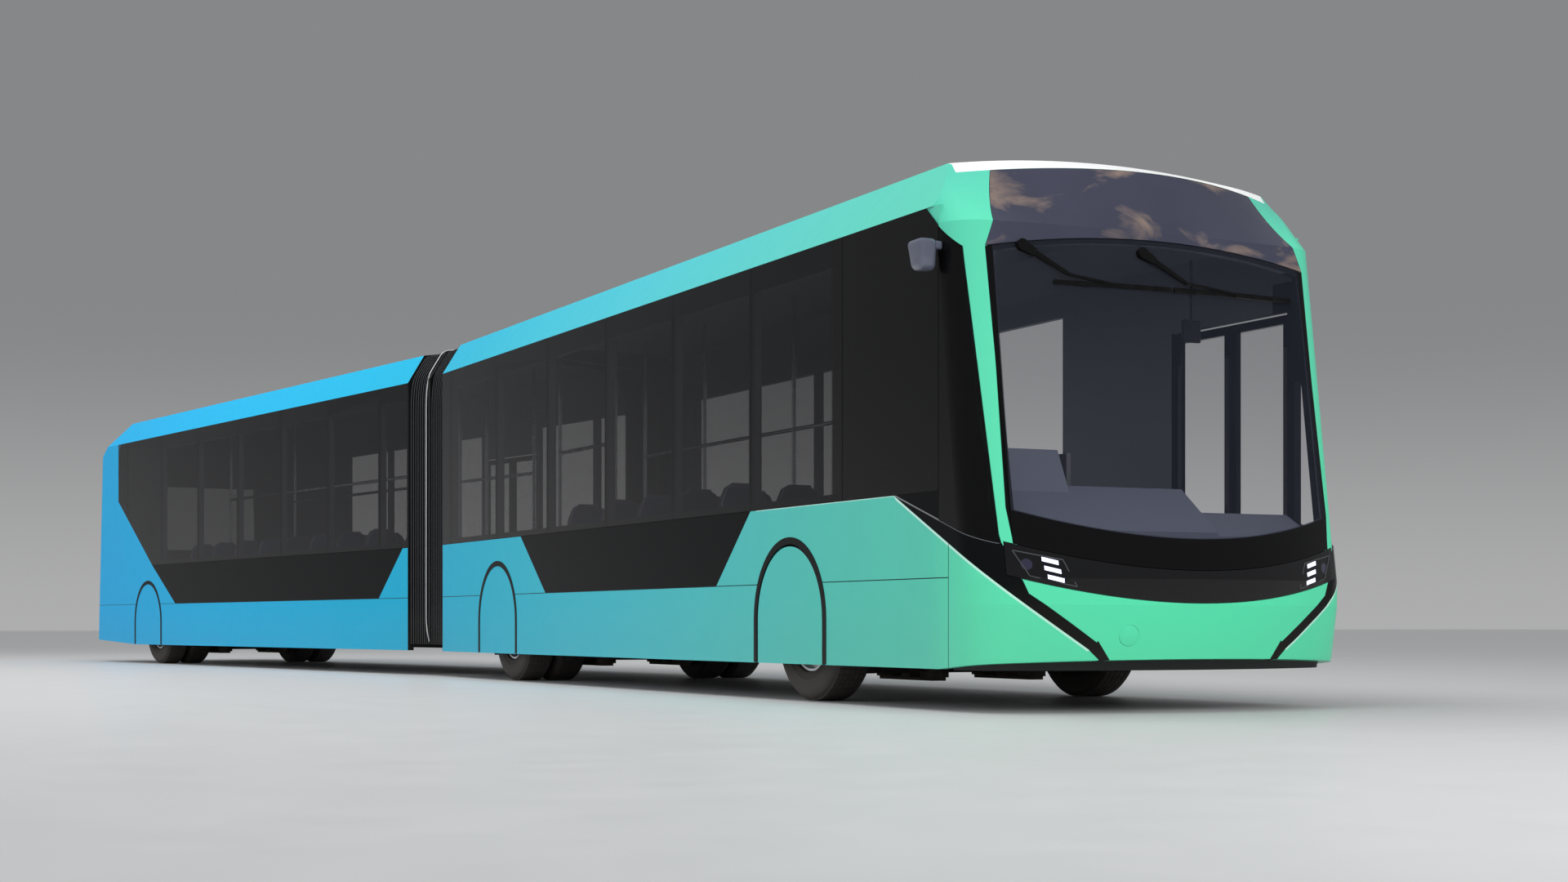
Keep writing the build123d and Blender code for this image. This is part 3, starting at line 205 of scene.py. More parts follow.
def srgb(red, green, blue):
    """A screen colour, 0 to 255, as the linear light that Blender mixes."""
    def one(value):
        value /= 255.0
        return value / 12.92 if value <= 0.04045 else ((value + 0.055) / 1.055) ** 2.4
    return (one(red), one(green), one(blue), 1.0)


print("node helpers ready")

# %% [markdown]
# ## Shapes as signed distances
# A pattern is drawn with distances that are positive inside a shape. The smaller of two
# distances is then the overlap of two shapes, and the larger one is their union.

# %% Signed distances
def least(first, *others):
    """The overlap of several signed distances."""
    for other in others:
        first = first.calc("MINIMUM", other)
    return first


def most(first, *others):
    """The union of several signed distances."""
    for other in others:
        first = first.calc("MAXIMUM", other)
    return first


def dot(first, second):
    """How far one vector reaches along another."""
    return node(
        first.tree, "VectorMath", (first, second), out="Value", operation="DOT_PRODUCT"
    )


def flat(place, normal, offset):
    """Signed distance in front of a plane."""
    return dot(place, normal) + offset


def line(place, start, end, axis="x"):
    """Signed distance to the left of a line drawn in side (x, z) or front (y, z) elevation."""
    run, rise = end[0] - start[0], end[1] - start[1]
    length = math.hypot(run, rise)
    across, up = -rise / length, run / length
    normal = (across, 0.0, up) if axis == "x" else (0.0, across, up)
    return flat(place, normal, -(across * start[0] + up * start[1]))


def arch(y, bend, height):
    """The height of a shallow arch over the bus's middle line."""
    return y * y * bend + height


def rounded(radius, first, second):
    """Signed distance inside a corner with a given radius, from the distances to its two edges."""
    first, second = most(radius - first, 0.0), most(radius - second, 0.0)
    return radius - (first * first + second * second).calc("SQRT")


def mask(distance, edge=0.003):
    """Turn a signed distance into 0 outside and 1 inside, with a narrow soft edge."""
    return distance.calc("MULTIPLY_ADD", 1.0 / edge, 0.5, use_clamp=True)


def straightened(where, matrix, kind="POINT"):
    """A place, or with VECTOR a direction, turned back to the straight drawing."""
    back = matrix.inverted()
    inputs = {0: where, 2: back.to_euler()}
    if kind == "POINT":
        inputs[1] = back.to_translation()
    return node(where.tree, "Mapping", inputs, vector_type=kind)


def straight_place(material, matrix):
    """The x, y and z of the straight drawing, as fields of a material."""
    where = node(material.node_tree, "TexCoord", out="Object")
    return parts(straightened(where, matrix))


print("signed distances ready")

# %% [markdown]
# ## Surfaces that have been outdoors
# No real panel has one flat colour. This group varies any colour and roughness a
# little with a soft noise, and lays road dust on whatever is low down. Every material
# uses it with its own grain and its own share of dust.

# %% The weathering group
BROAD_GRAIN = 1.7
DUST_FADE = (-1.6, 1.15)
ROAD_DUST = srgb(150, 142, 130)
weather, given, result = group(
    "weathering",
    [
        ("Place", "Vector", None), ("Colour", "Color", (0.5, 0.5, 0.5, 1.0)),
        ("Roughness", "Float", 0.5), ("Grain", "Float", 40.0),
        ("Unevenness", "Float", 0.06), ("Dust", "Float", 0.1),
    ],
    [("Colour", "Color"), ("Roughness", "Float"), ("Height", "Float")],
)
fine, broad = (
    node(weather, "TexNoise", {"Vector": given["Place"], "Scale": size, "Detail": more})
    for size, more in ((given["Grain"], 3.0), (BROAD_GRAIN, 4.0))
)
both = fine + broad - 1.0
swing = both * given["Unevenness"] + 1.0
varied = node(
    weather, "VectorMath", {0: given["Colour"], 3: swing}, operation="SCALE"
)
height = parts(given["Place"])[2]
low_down = height.calc("MULTIPLY_ADD", *DUST_FADE, use_clamp=True)
dusty = low_down * broad * given["Dust"]
rough = both * 0.12 + given["Roughness"]
feed(mixed(dusty, varied, ROAD_DUST), result["Colour"])
feed(dusty.calc("MULTIPLY_ADD", 0.5, rough, use_clamp=True), result["Roughness"])
feed(fine, result["Height"])
print("weathering has", len(weather.nodes), "nodes")

# %% [markdown]
# ## The livery
# The paint runs from mint green at the nose through teal to blue at the tail, and its
# stops on the nose are lighter still, partly for the livery's mint and partly as painted
# light for the brightly lit nose. Black panels join the glass band to the skirt, and a
# black stripe runs down each side of the bumper; a pale line along the edges of the black
# is a painted highlight. All of it is drawn by signed distances on the straight drawing of
# a section, so one group paints walls, nose, tail and wheel covers and the edges meet
# across panels.

# %% Heights and stations of the livery
WAIST = 0.755
SILL = 1.247
BAND_TOP = 2.867
ROOF_EDGE = 1.098
ROOF_BACK_X = -17.66
DOOR_SEAM_X = 2.042
FRONT_PANEL = ((-5.252, SILL), (-4.625, WAIST), (-1.147, WAIST), (-0.586, SILL))
REAR_PANEL = ((-8.737, SILL), (-9.314, WAIST))
REAR_EDGE = ((-15.441, WAIST), (-16.314, SILL), (-17.677, 2.116))
REAR_CORNER = 0.14
STRIPE_PLANE = ((0.37523, -0.47245, 0.79750), -0.91818)
STRIPE_BEND = ((0.635, 0.393), (0.665, 0.345))
STRIPE_FOOT = ((0.553, 0.2), (0.615, 0.2), (0.617, 0.300), (0.553, 0.300))
STRIPE_AHEAD = 2.3
STRIPE_KNEE = ((0.553, 0.297), (0.617, 0.297), (0.676, 0.350), (0.628, 0.402))
CUT_CORNER = ((1.781, BAND_TOP), (2.087, 2.614))
LAMP_SIDES = (
    ((1.142, 0.939), (1.020, 0.662)), ((1.020, 0.662), (0.635, 0.393)),
    ((1.191, 1.220), (1.145, 0.951)), ((1.210, 2.612), (1.188, 0.951)),
)
LAMP_SILL = (0.119, 0.616)
LAMP_TOP, LAMP_OUT = 1.0, 1.06
SCREEN_AHEAD = 1.7
SCREEN_SILL = (0.1197, 0.793)
SCREEN_CROWN = (-0.0442, 3.136)
SCREEN_SIDES = ((-0.0120, 1.1360), (0.120, 0.9860), (-0.3955, 2.1407))
PANE_LINE = ((1.412, SILL), (2.385, 0.940))
# The RIM constants place a painted highlight: a pale line on the paint just outside the edges of
# the black, broader from RIM_BROAD_X forward.
RIM_LIGHT = 0.012
RIM_END_X, RIM_FOOT, RIM_BROAD_X = -0.5, 0.345, 1.42
GAP_HALF, GAP_END_X = 0.005, 1.40
PANE_LINE_HALF, PANE_LINE_FOOT = 0.004, 0.9
SEAM = 0.003
COVER_HALF = 0.47
FINE_EDGE = 0.002
NOSE_FROM_Z = 0.745
NOSE_LEAN = (-0.23424, 2.675)
NOSE_FALL = (-0.0699, 0.190)
NOSE_CORNER = 0.27
SKIN = 0.012
BELLOWS_ENDS = (-7.494, -8.618)
# The paint's colour at stations along x. The two nose stops, at 2.3 and 2.65, are lighter partly
# for the livery's mint and partly as painted light for the brightly lit nose.
SHADES = (
    (-18.8, srgb(20, 164, 220)), (-14.0, srgb(20, 165, 212)), (-8.6, srgb(24, 160, 196)),
    (-6.5, srgb(36, 164, 191)), (-3.0, srgb(64, 174, 187)), (0.0, srgb(80, 182, 174)),
    (1.8, srgb(86, 190, 168)), (2.3, srgb(92, 212, 170)), (2.65, srgb(86, 220, 170)),
)


# %% The screen's outline in front elevation
def screen_outline(y, z, margin):
    """Signed distance inside the arched outline that holds the screen and the sign above it."""
    sides = [z * slope + (reach - margin) - y for slope, reach in SCREEN_SIDES]
    return least(z - arch(y, *SCREEN_SILL) - margin, arch(y, *SCREEN_CROWN) - margin - z, *sides)


# %% The livery group
livery, given, result = group(
    "livery",
    [("Place", "Vector", None), ("Facing", "Vector", None)],
    [("Colour", "Color"), ("Roughness", "Float"), ("Coat", "Float"), ("Height", "Float")],
)
x, signed_y, z = parts(given["Place"])
y = abs(signed_y)
place = node(livery, "CombineXYZ", (x, y, z))


def side_line(start, end):
    """Signed distance to a line in side elevation."""
    return line(place, start, end)


def face_line(start, end):
    """Signed distance to a line in front elevation."""
    return line(place, start, end, axis="y")


def four_sided(corners):
    """Signed distance inside a four-sided patch of the nose."""
    sides = zip(corners, corners[1:] + corners[:1])
    return least(x - STRIPE_AHEAD, *[face_line(a, b) for a, b in sides])


# %% Black glass bands, panels and stripes
stripe_top = flat(place, *STRIPE_PLANE)
front_trapezoid = least(z - WAIST, side_line(*FRONT_PANEL[:2]), side_line(*FRONT_PANEL[2:]))
beside_lamps = most(*[face_line(*ends) for ends in LAMP_SIDES])
diagonal = least(stripe_top, face_line(*STRIPE_BEND))
front_black = least(
    most(z - SILL, diagonal, front_trapezoid),
    BAND_TOP - z, side_line(CUT_CORNER[1], CUT_CORNER[0]), beside_lamps,
)
stripe_end = most(four_sided(STRIPE_FOOT), four_sided(STRIPE_KNEE))
front_black = least(most(front_black, stripe_end), x - PIVOT_X)
lamp_recess = least(z - arch(y, *LAMP_SILL), LAMP_TOP - z, LAMP_OUT - y)
behind_glass = most(screen_outline(y, z, 0.012), lamp_recess)
front_black = most(front_black, least(x - SCREEN_AHEAD, behind_glass))
rear_trapezoid = least(z - WAIST, side_line(REAR_PANEL[1], REAR_PANEL[0]))
rear_black = least(
    most(z - SILL, rear_trapezoid), rounded(REAR_CORNER, x - REAR_EDGE[2][0], BAND_TOP - z),
    side_line(REAR_EDGE[1], REAR_EDGE[0]), side_line(REAR_EDGE[2], REAR_EDGE[1]), PIVOT_X - x,
)
black_reach = most(front_black, rear_black)
black = mask(black_reach)

# %% Thin lines: the gap at the sill, a painted highlight along the rim of the black, and the seams of panels
sill_gap = mask(least(GAP_HALF - abs(z - SILL), black_reach, GAP_END_X - x), FINE_EDGE)
highlight_rim_width = mask(x - RIM_BROAD_X, 0.02) * (RIM_LIGHT * 0.6) + RIM_LIGHT * 0.4
# Painted highlight: a pale line on the paint just outside the edges of the black, up to the sill,
# where a bevelled edge would catch light.
painted_highlight_rim = mask(
    least(
        black_reach + highlight_rim_width, -black_reach, SILL + RIM_LIGHT - z,
        x - RIM_END_X, z - RIM_FOOT, -stripe_top,
    )
)
pane_line = mask(
    least(
        PANE_LINE_HALF - abs(side_line(*PANE_LINE)), x - PANE_LINE[0][0],
        PANE_LINE[1][0] - x, z - PANE_LINE_FOOT, SILL - z,
    ),
    FINE_EDGE,
)
white = mask(least(ROOF_EDGE - y, z - arch(y, *SCREEN_CROWN), x - ROOF_BACK_X))
beside_wheels = [abs(x - station) - COVER_HALF for station in AXLE_X.values()]
waist_seam = least(SEAM - abs(z - WAIST), DOOR_SEAM_X - x, y - 1.25, *beside_wheels)
nose_seam = least(SEAM - abs(x - DOOR_SEAM_X), -stripe_top, SILL - z)
seam = mask(most(waist_seam, nose_seam), FINE_EDGE)

# %% Inner faces, which stay grey or black
climb = z - NOSE_FROM_Z
lean, fall = (climb * slope + start for slope, start in (NOSE_LEAN, NOSE_FALL))
corner_depth = rounded(NOSE_CORNER, lean - fall * (y * y) - x, SIDE_Y - y)
behind_skin = mask(least(corner_depth - SKIN, x - 1.75, 2.60 - z, z - 0.95), FINE_EDGE)
along = x - node(livery, "Clamp", (x, -17.0, 0.5))
outward = node(livery, "CombineXYZ", (along, signed_y, z - 1.75))
turned_in = mask(-dot(outward, given["Facing"]), 0.02)
end_face = mask(least(BELLOWS_ENDS[0] - x, x - BELLOWS_ENDS[1]), FINE_EDGE)

# %% The paint's run of colour, and everything laid over it
ramp = livery.nodes.new("ShaderNodeValToRGB")
low_x, high_x = SHADES[0][0], SHADES[-1][0]
while len(ramp.color_ramp.elements) < len(SHADES):
    ramp.color_ramp.elements.new(0.5)
for element, (station, shade) in zip(ramp.color_ramp.elements, SHADES):
    element.position = (station - low_x) / (high_x - low_x)
for element, (station, shade) in zip(ramp.color_ramp.elements, SHADES):
    element.color = shade
feed(node(livery, "MapRange", (x, low_x, high_x, 0.0, 1.0)), ramp.inputs["Fac"])
# The layers in order; the pale line along the black, mixed in at 0.6, is a painted highlight.
LAYERS = (
    (black, srgb(16, 17, 18)), (sill_gap, srgb(3, 3, 4)), (pane_line, srgb(120, 124, 126)),
    (painted_highlight_rim * 0.6, srgb(226, 244, 240)), (white, srgb(236, 238, 238)),
    (seam, srgb(20, 40, 45)), (turned_in, srgb(84, 86, 92)), (behind_skin, srgb(20, 21, 23)),
    (end_face, srgb(20, 21, 23)),
)
colour = Field(ramp.outputs["Color"])
for share, shade in LAYERS:
    colour = mixed(share, colour, shade)
inner = most(turned_in, behind_skin)
painted_share = (1.0 - inner).calc("SUBTRACT", black, use_clamp=True)
feed(colour, result["Colour"])
feed(level(inner, level(black, 0.28, 0.07), 0.6), result["Roughness"])
feed(painted_share * 0.14, result["Coat"])
feed(-seam, result["Height"])
print("livery has", len(livery.nodes), "nodes")

# %% [markdown]
# ## Materials
# One function makes a plain finish: its colour goes through the weathering group, and
# a fine bump takes the grain. Paint adds the livery in front of it, turned back to the
# straight drawing by a Mapping node.

# %% Plain finishes
def weathered(name, **values):
    """A new material whose colour and roughness go through the weathering group."""
    material = bpy.data.materials.new(name)
    material.use_nodes = True
    tree = material.node_tree
    shader = tree.nodes["Principled BSDF"]
    worn = placed(tree, weather, Place=node(tree, "TexCoord", out="Object"), **values)
    feed(worn.outputs["Colour"], shader.inputs["Base Color"])
    feed(worn.outputs["Roughness"], shader.inputs["Roughness"])
    return material, shader, worn


FINISHES = {}


def finish(name, colour, roughness, grain=40.0, unevenness=0.06, dust=0.1, bump=0.0004, **fixed):
    """A material with a weathered screen colour; fixed values go straight on the shader."""
    material, shader, worn = weathered(
        name, Colour=srgb(*colour), Roughness=roughness, Grain=grain, Unevenness=unevenness,
        Dust=dust,
    )
    inputs = {"Height": worn.outputs["Height"], "Distance": bump, "Strength": 1.0}
    feed(node(material.node_tree, "Bump", inputs), shader.inputs["Normal"])
    for label, value in fixed.items():
        shader.inputs[label.replace("_", " ")].default_value = value
    FINISHES[name] = material
    return material


def network(material):
    """The tree of a finish, its shader and its weathering group."""
    tree = material.node_tree
    worn = next(n for n in tree.nodes if n.type == "GROUP")
    return tree, tree.nodes["Principled BSDF"], worn


def painted(name, matrix):
    """The livery on one body section."""
    material = finish(
        name, (188, 188, 188), 0.3, grain=300.0, unevenness=0.02, dust=0.12, bump=0.00005,
        Coat_Roughness=0.04, Specular_IOR_Level=0.04,
    )
    tree, shader, worn = network(material)
    where, normal = (node(tree, "TexCoord", out=kind) for kind in ("Object", "Normal"))
    made = placed(
        tree, livery, Place=straightened(where, matrix),
        Facing=straightened(normal, matrix, "VECTOR"),
    ).outputs
    feed(made["Colour"], worn.inputs["Colour"])
    feed(made["Roughness"], worn.inputs["Roughness"])
    feed(made["Coat"], shader.inputs["Coat Weight"])
    return material


painted("front_paint", FRONT)
painted("rear_paint", REAR)
finish(
    "satin_black", (13, 13, 14), 0.42, grain=160.0, dust=0.05, Specular_IOR_Level=0.15
)
finish("gloss_black", (12, 12, 14), 0.06, grain=60.0, dust=0.05)
finish("frame_black", (11, 11, 12), 0.6, grain=60.0, dust=0.03)
finish(
    "cast_iron", (48, 46, 44), 0.65, grain=90.0, unevenness=0.2, dust=0.7, bump=0.001,
    Metallic=0.6,
)
finish("alloy", (232, 233, 236), 0.35, grain=30.0, dust=0.05, Metallic=0.4)
finish(
    "rubber", (58, 54, 54), 0.8, grain=120.0, unevenness=0.15, dust=0.5, bump=0.0008
)
finish("vinyl", (78, 80, 84), 0.55, grain=220.0, unevenness=0.2, dust=0.15)
finish("stainless", (190, 192, 195), 0.25, grain=80.0, dust=0.0, Metallic=1.0)
finish("trim_grey", (70, 72, 76), 0.5, grain=150.0)
finish("dash_grey", (88, 92, 108), 0.55, grain=260.0, dust=0.0, bump=0.0005)
finish("pod_grey", (84, 88, 104), 0.18, grain=80.0, dust=0.0, Coat_Weight=0.5)
finish(
    "fabric_black", (9, 9, 10), 0.8, grain=400.0, unevenness=0.12, dust=0.1,
    Specular_IOR_Level=0.2,
)
# A lighter grey finish for the crest of each fold: a painted highlight along every ridge of the
# black cloth.
finish(
    "crest_painted_highlight", (74, 76, 80), 0.6, grain=400.0, unevenness=0.12, dust=0.1
)
finish("case_grey", (60, 62, 66), 0.5, grain=60.0)

# %% The sign, blank glass with a painted reflection: a soft pattern like the sky that such a slope mirrors
sign_glass = finish("sign_glass", (62, 62, 72), 0.08, grain=2.0, unevenness=0.35, dust=0.0)
tree, shader, worn = network(sign_glass)
where = node(tree, "TexCoord", out="Object")
where = node(tree, "Mapping", {0: where, 3: (1.0, 1.0, 1.9)})
# Painted reflection: a stretched noise mixes a dark blue-grey with a pale warm grey, like a
# clouded sky mirrored in the sloping glass.
painted_sky_reflection = node(
    tree, "TexNoise",
    {"Vector": where, "Scale": 1.9, "Detail": 5.0, "Roughness": 0.55, "Distortion": 0.8},
)
sky_reflection_share = node(tree, "MapRange", (painted_sky_reflection, 0.52, 0.68, 0.0, 1.0))
feed(mixed(sky_reflection_share, srgb(60, 62, 78), srgb(128, 112, 104)), worn.inputs["Colour"])
print(len(bpy.data.materials), "materials so far")

# %% [markdown]
# ## Glass
# The panes are tinted so darkly that from outside they look like one black band, until
# light from the far side comes through. Partly transparent shading shows the saloon
# without bending rays, and gloss grows towards grazing angles by the Fresnel term. Only
# the outer face of each pane carries the tint, so that two faces don't darken it twice.

# %% Tinted glass
SMOKE = srgb(14, 15, 17)
SIDE_TINT = 0.79
PANE_DEPTH = 0.004
LEAF_DEPTH = 0.0175
CAB_PANE_X = 0.6
PRINT_EDGE = 0.045
PRINT_SILL = (0.13, 0.975)


def fed(socket):
    """What an input is linked to."""
    return Field(socket.links[0].from_socket)


def tinted(name, colour, density):
    """Glass that shows a share of what is behind it, and has a clear back."""
    material, shader, _ = weathered(
        name, Colour=colour, Roughness=0.03, Grain=3.0, Unevenness=0.1, Dust=0.15
    )
    glance = node(material.node_tree, "Fresnel", {"IOR": 1.45})
    facing_away = node(material.node_tree, "NewGeometry", out="Backfacing")
    feed(level(facing_away, level(glance, density, 1.0), 0.0), shader.inputs["Alpha"])
    shader.inputs["Specular IOR Level"].default_value = 0.18
    return material


def side_glass(name, matrix, depth):
    """Tinted side glass whose inner face is clear, so that the tint shows from outside alone."""
    material = tinted(name, SMOKE, SIDE_TINT)
    x, y, z = straight_place(material, matrix)
    alpha = network(material)[1].inputs["Alpha"]
    feed(fed(alpha) * mask(abs(y) - (SIDE_Y - depth), 0.001), alpha)
    return material


def add_print(material, printed):
    """Make glass opaque black where a mask says that it is printed."""
    shader = network(material)[1].inputs
    feed(most(fed(shader["Alpha"]), printed), shader["Alpha"])
    feed(mixed(printed, fed(shader["Base Color"]), srgb(12, 12, 13)), shader["Base Color"])


for section, matrix in SECTIONS.items():
    panes = side_glass(section.replace("section", "side_glass"), matrix, PANE_DEPTH)
    if section == "front_section":
        x, y, z = straight_place(panes, matrix)
        add_print(panes, mask(x - CAB_PANE_X, 0.01) * 0.93 * mask(-y, 0.01))
    leaf = side_glass(section.replace("section", "door"), matrix, LEAF_DEPTH)
    x, y, z = straight_place(leaf, matrix)
    add_print(leaf, mask(abs(abs(y) - (SIDE_Y - LEAF_DEPTH)) - 0.0055, 0.001))
tinted("tail_glass", SMOKE, 0.6)

# %% The screen, with its printed border, and the lamps
screen_glass = tinted("screen_glass", srgb(70, 75, 92), 0.12)
x, y, z = straight_place(screen_glass, FRONT)
y = abs(y)
clear = least(screen_outline(y, z, PRINT_EDGE), z - arch(y, *PRINT_SILL))
add_print(screen_glass, 1.0 - mask(clear, 0.012))
lens_glass = finish(
    "lens_glass", (24, 25, 30), 0.05, grain=30.0, dust=0.0, Coat_Weight=1.0,
    Emission_Strength=2.2,
)
x, y, z = straight_place(lens_glass, FRONT)
lit = mask(0.975 - abs(y), 0.004)
glow = network(lens_glass)[1].inputs["Emission Color"]
feed(mixed(lit, srgb(16, 14, 34), srgb(222, 222, 255)), glow)
print("glass ready")

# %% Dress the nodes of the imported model
DRESS = {
    "front_paint": "front_right_wall front_left_wall front_roof front_mask "
                   "front_right_wheel_cover front_left_wheel_cover middle_wheel_covers",
    "rear_paint": "rear_right_wall rear_left_wall rear_roof tail_cap rear_wheel_covers",
    "front_side_glass": "front_side_windows",
    "rear_side_glass": "rear_side_windows",
    "tail_glass": "rear_window",
    "lens_glass": "headlamps",
    "screen_glass": "windscreen",
    "gloss_black": "lamp_band",
    "sign_glass": "destination_panel",
    "pod_grey": "camera_pods",
    "satin_black": "wipers turntable_hoop",
    "vinyl": "front_floor rear_floor",
    "frame_black": "front_frame rear_frame",
    "cast_iron": "front_axle middle_axle rear_axle left_knuckle right_knuckle",
    "trim_grey": "cab_partition",
    "dash_grey": "dashboard",
    "stainless": "front_handrails rear_handrails",
    "case_grey": "battery_pack",
    "fabric_black": "bellows",
}
DRESS = {material: names.split() for material, names in DRESS.items()}
ENDINGS = {"tyre": "rubber", "tyres": "rubber", "rim": "alloy", "rims": "alloy"}
for name in NODES:
    words = name.split("_")
    if words[-1] in ENDINGS:
        DRESS.setdefault(ENDINGS[words[-1]], []).append(name)
    elif words[-1] == "leaf":
        DRESS.setdefault("rear_door" if words[0] == "rear" else "front_door", []).append(name)
for material, names in DRESS.items():
    for name in names:
        slots = NODES[name].data.materials
        slots.clear()
        slots.append(bpy.data.materials[material])
print("left plain:", sorted(set(NODES) - {n for names in DRESS.values() for n in names}))

# %% [markdown]
# ## Making a piece
# Every new piece is one mesh, made with bmesh operators in the straight drawing and then
# taken to where its section stands. It rides on a body, so it moves when that body does.

# %% Piece helpers
def as_mesh(name, shape):
    """Turn a finished bmesh into a mesh."""
    mesh = bpy.data.meshes.new(name)
    shape.to_mesh(mesh)
    shape.free()
    return mesh


def new_piece(
    name, shape, material, body="front_section", matrix=None, smooth=True, replaces=()
):
    """Turn a bmesh into a piece of a named finish that rides on a body, or on none yet."""
    matrix = matrix or SECTIONS.get(body, FRONT)
    bmesh.ops.transform(shape, matrix=matrix, verts=shape.verts)
    mesh = as_mesh(name, shape)
    mesh.shade_smooth() if smooth else mesh.shade_flat()
    piece = add_object(name, mesh)
    mesh.materials.append(FINISHES[material])
    if body:
        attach(piece, body)
    if replaces:
        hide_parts(*replaces)
    mesh.calc_loop_triangles()
    print(name, len(mesh.loop_triangles), "triangles")
    return piece


def sharpen(piece, degrees=35.0):
    """Keep the corners that are sharper than an angle crisp on a smooth piece."""
    piece.data.set_sharp_from_angle(angle=math.radians(degrees))
    return piece


def round_edges(shape, edges, offset, segments=2):
    """Round some edges of a shape, and return the new points."""
    return bmesh.ops.bevel(
        shape, geom=edges, offset=offset, offset_type="OFFSET", segments=segments,
        profile=0.5, affect="EDGES", material=-1,
    )["verts"]


def add_block(shape, low, high, edge=0.0, segments=2):
    """A block between two corners, with its edges rounded."""
    made = bmesh.ops.create_cube(shape, size=1.0)["verts"]
    low, high = Vector(low), Vector(high)
    bmesh.ops.scale(shape, vec=high - low, verts=made)
    bmesh.ops.translate(shape, vec=(low + high) / 2.0, verts=made)
    if edge:
        made = round_edges(shape, list({e for v in made for e in v.link_edges}), edge, segments)
    return made


def add_rod(shape, start, end, radius, sides=16):
    """A round bar between two points."""
    start, end = Vector(start), Vector(end)
    turn = (end - start).to_track_quat("Z", "Y").to_matrix().to_4x4()
    bmesh.ops.create_cone(
        shape, cap_ends=True, segments=sides, radius1=radius, radius2=radius,
        depth=(end - start).length, matrix=Matrix.Translation((start + end) / 2.0) @ turn,
    )


def add_copy(shape, mesh, matrix):
    """Set a copy of a finished mesh down in a piece."""
    before = set(shape.verts)
    shape.from_mesh(mesh)
    bmesh.ops.transform(shape, matrix=matrix, verts=[v for v in shape.verts if v not in before])


def add_chain(shape, points):
    """A chain of points joined by edges; returns both."""
    verts = [shape.verts.new(point) for point in points]
    return verts, [shape.edges.new(pair) for pair in zip(verts, verts[1:])]


def thicken(shape, thickness):
    """Give a sheet an inside."""
    bmesh.ops.recalc_face_normals(shape, faces=shape.faces)
    bmesh.ops.solidify(shape, geom=shape.faces, thickness=thickness)


def grow(shape, edges):
    """Extrude a chain of edges; returns the new points, edges and faces."""
    made = bmesh.ops.extrude_edge_only(shape, edges=edges)["geom"]
    kinds = (bmesh.types.BMVert, bmesh.types.BMEdge, bmesh.types.BMFace)
    return [[part for part in made if isinstance(part, kind)] for kind in kinds]


# %% [markdown]
# ## The bellows
# Real bellows are rubberised cloth sewn in folds on hoops. The outline of the body is a
# chain of points, and each step towards the other section extrudes that chain a little
# further, in and out by turns. Blending lets it bend between the two sections. The crest
# of each fold gets a lighter grey than the black cloth, as a painted highlight.

# %% Bellows
FRONT_FRAME_X = -7.501
REAR_FRAME_X = -8.611
FOLDS = 19
FOLD_DEPTH = 0.034
FOLD = (0.0, 0.0, 0.5, 1.0, 1.0, 0.5)
FOLD_INSET = 0.008
CLOTH = 0.003
BEND_RADIUS = 0.30
SHOULDER_Y, SHOULDER_Z, ROOF_Z = 1.10, 3.15, 3.231
BELLOWS_FOOT = min(v.co.z for v in NODES["bellows"].data.vertices) + 0.001


def curve(start, corner, end, steps):
    """Points of a soft bend from start to end, pulled towards a corner; the end isn't given."""
    start, corner, end = Vector(start), Vector(corner), Vector(end)
    shares = [k / steps for k in range(steps)]
    return [tuple(start * (1 - t) ** 2 + corner * 2 * t * (1 - t) + end * t * t) for t in shares]


def body_outline(inset, low=BELLOWS_FOOT, wall_steps=9, roof_steps=11):
    """The outline of the folds from the front: right skirt, roof, left skirt."""
    half, edge = SIDE_Y - inset, BAND_TOP - inset * 0.4
    cove, top = SHOULDER_Y - inset * 0.6, SHOULDER_Z - inset
    wall_top = edge - BEND_RADIUS
    lower, upper = ((-half + (half - cove) * t, edge + (top - edge) * t) for t in (0.3, 0.85))
    points = [(-half, low + (wall_top - low) * k / wall_steps) for k in range(wall_steps)]
    points += curve((-half, wall_top), (-half, edge), lower, 6)
    flat_y = cove - 0.06
    across = [flat_y * (1.0 - k / roof_steps) for k in range(roof_steps + 1)]
    roof = [(-y, top + (ROOF_Z - SHOULDER_Z) * (1.0 - (y / cove) ** 2)) for y in across]
    points += [lower] + curve(upper, (-cove, top), roof[0], 4) + roof
    return points + [(-y, z) for y, z in reversed(points[:-1])]


def bent_place(share, y, z):
    """A point between the two frames, turned by its share of the bend."""
    x = FRONT_FRAME_X + (REAR_FRAME_X - FRONT_FRAME_X) * share
    turned = Matrix.Rotation(BEND * share, 3, "Z") @ Vector((x - PIVOT_X, y, z))
    return turned + Vector((PIVOT_X, 0.0, 0.0))


shape = bmesh.new()
_, edges = add_chain(shape, [bent_place(0.0, *point) for point in body_outline(FOLD_INSET)])
STEPS = len(FOLD)
total = FOLDS * STEPS
highlighted_crests = []
for step in range(1, total + 1):
    new, edges, faces = grow(shape, edges)
    if step % STEPS == 1:
        highlighted_crests += faces
    depth = FOLD_INSET + FOLD_DEPTH * FOLD[step % STEPS]
    for vert, point in zip(new, body_outline(depth)):
        vert.co = bent_place(step / total, *point)
bmesh.ops.recalc_face_normals(shape, faces=shape.faces)
if max(shape.faces, key=lambda f: f.calc_center_median().z).normal.z < 0.0:
    bmesh.ops.reverse_faces(shape, faces=shape.faces)
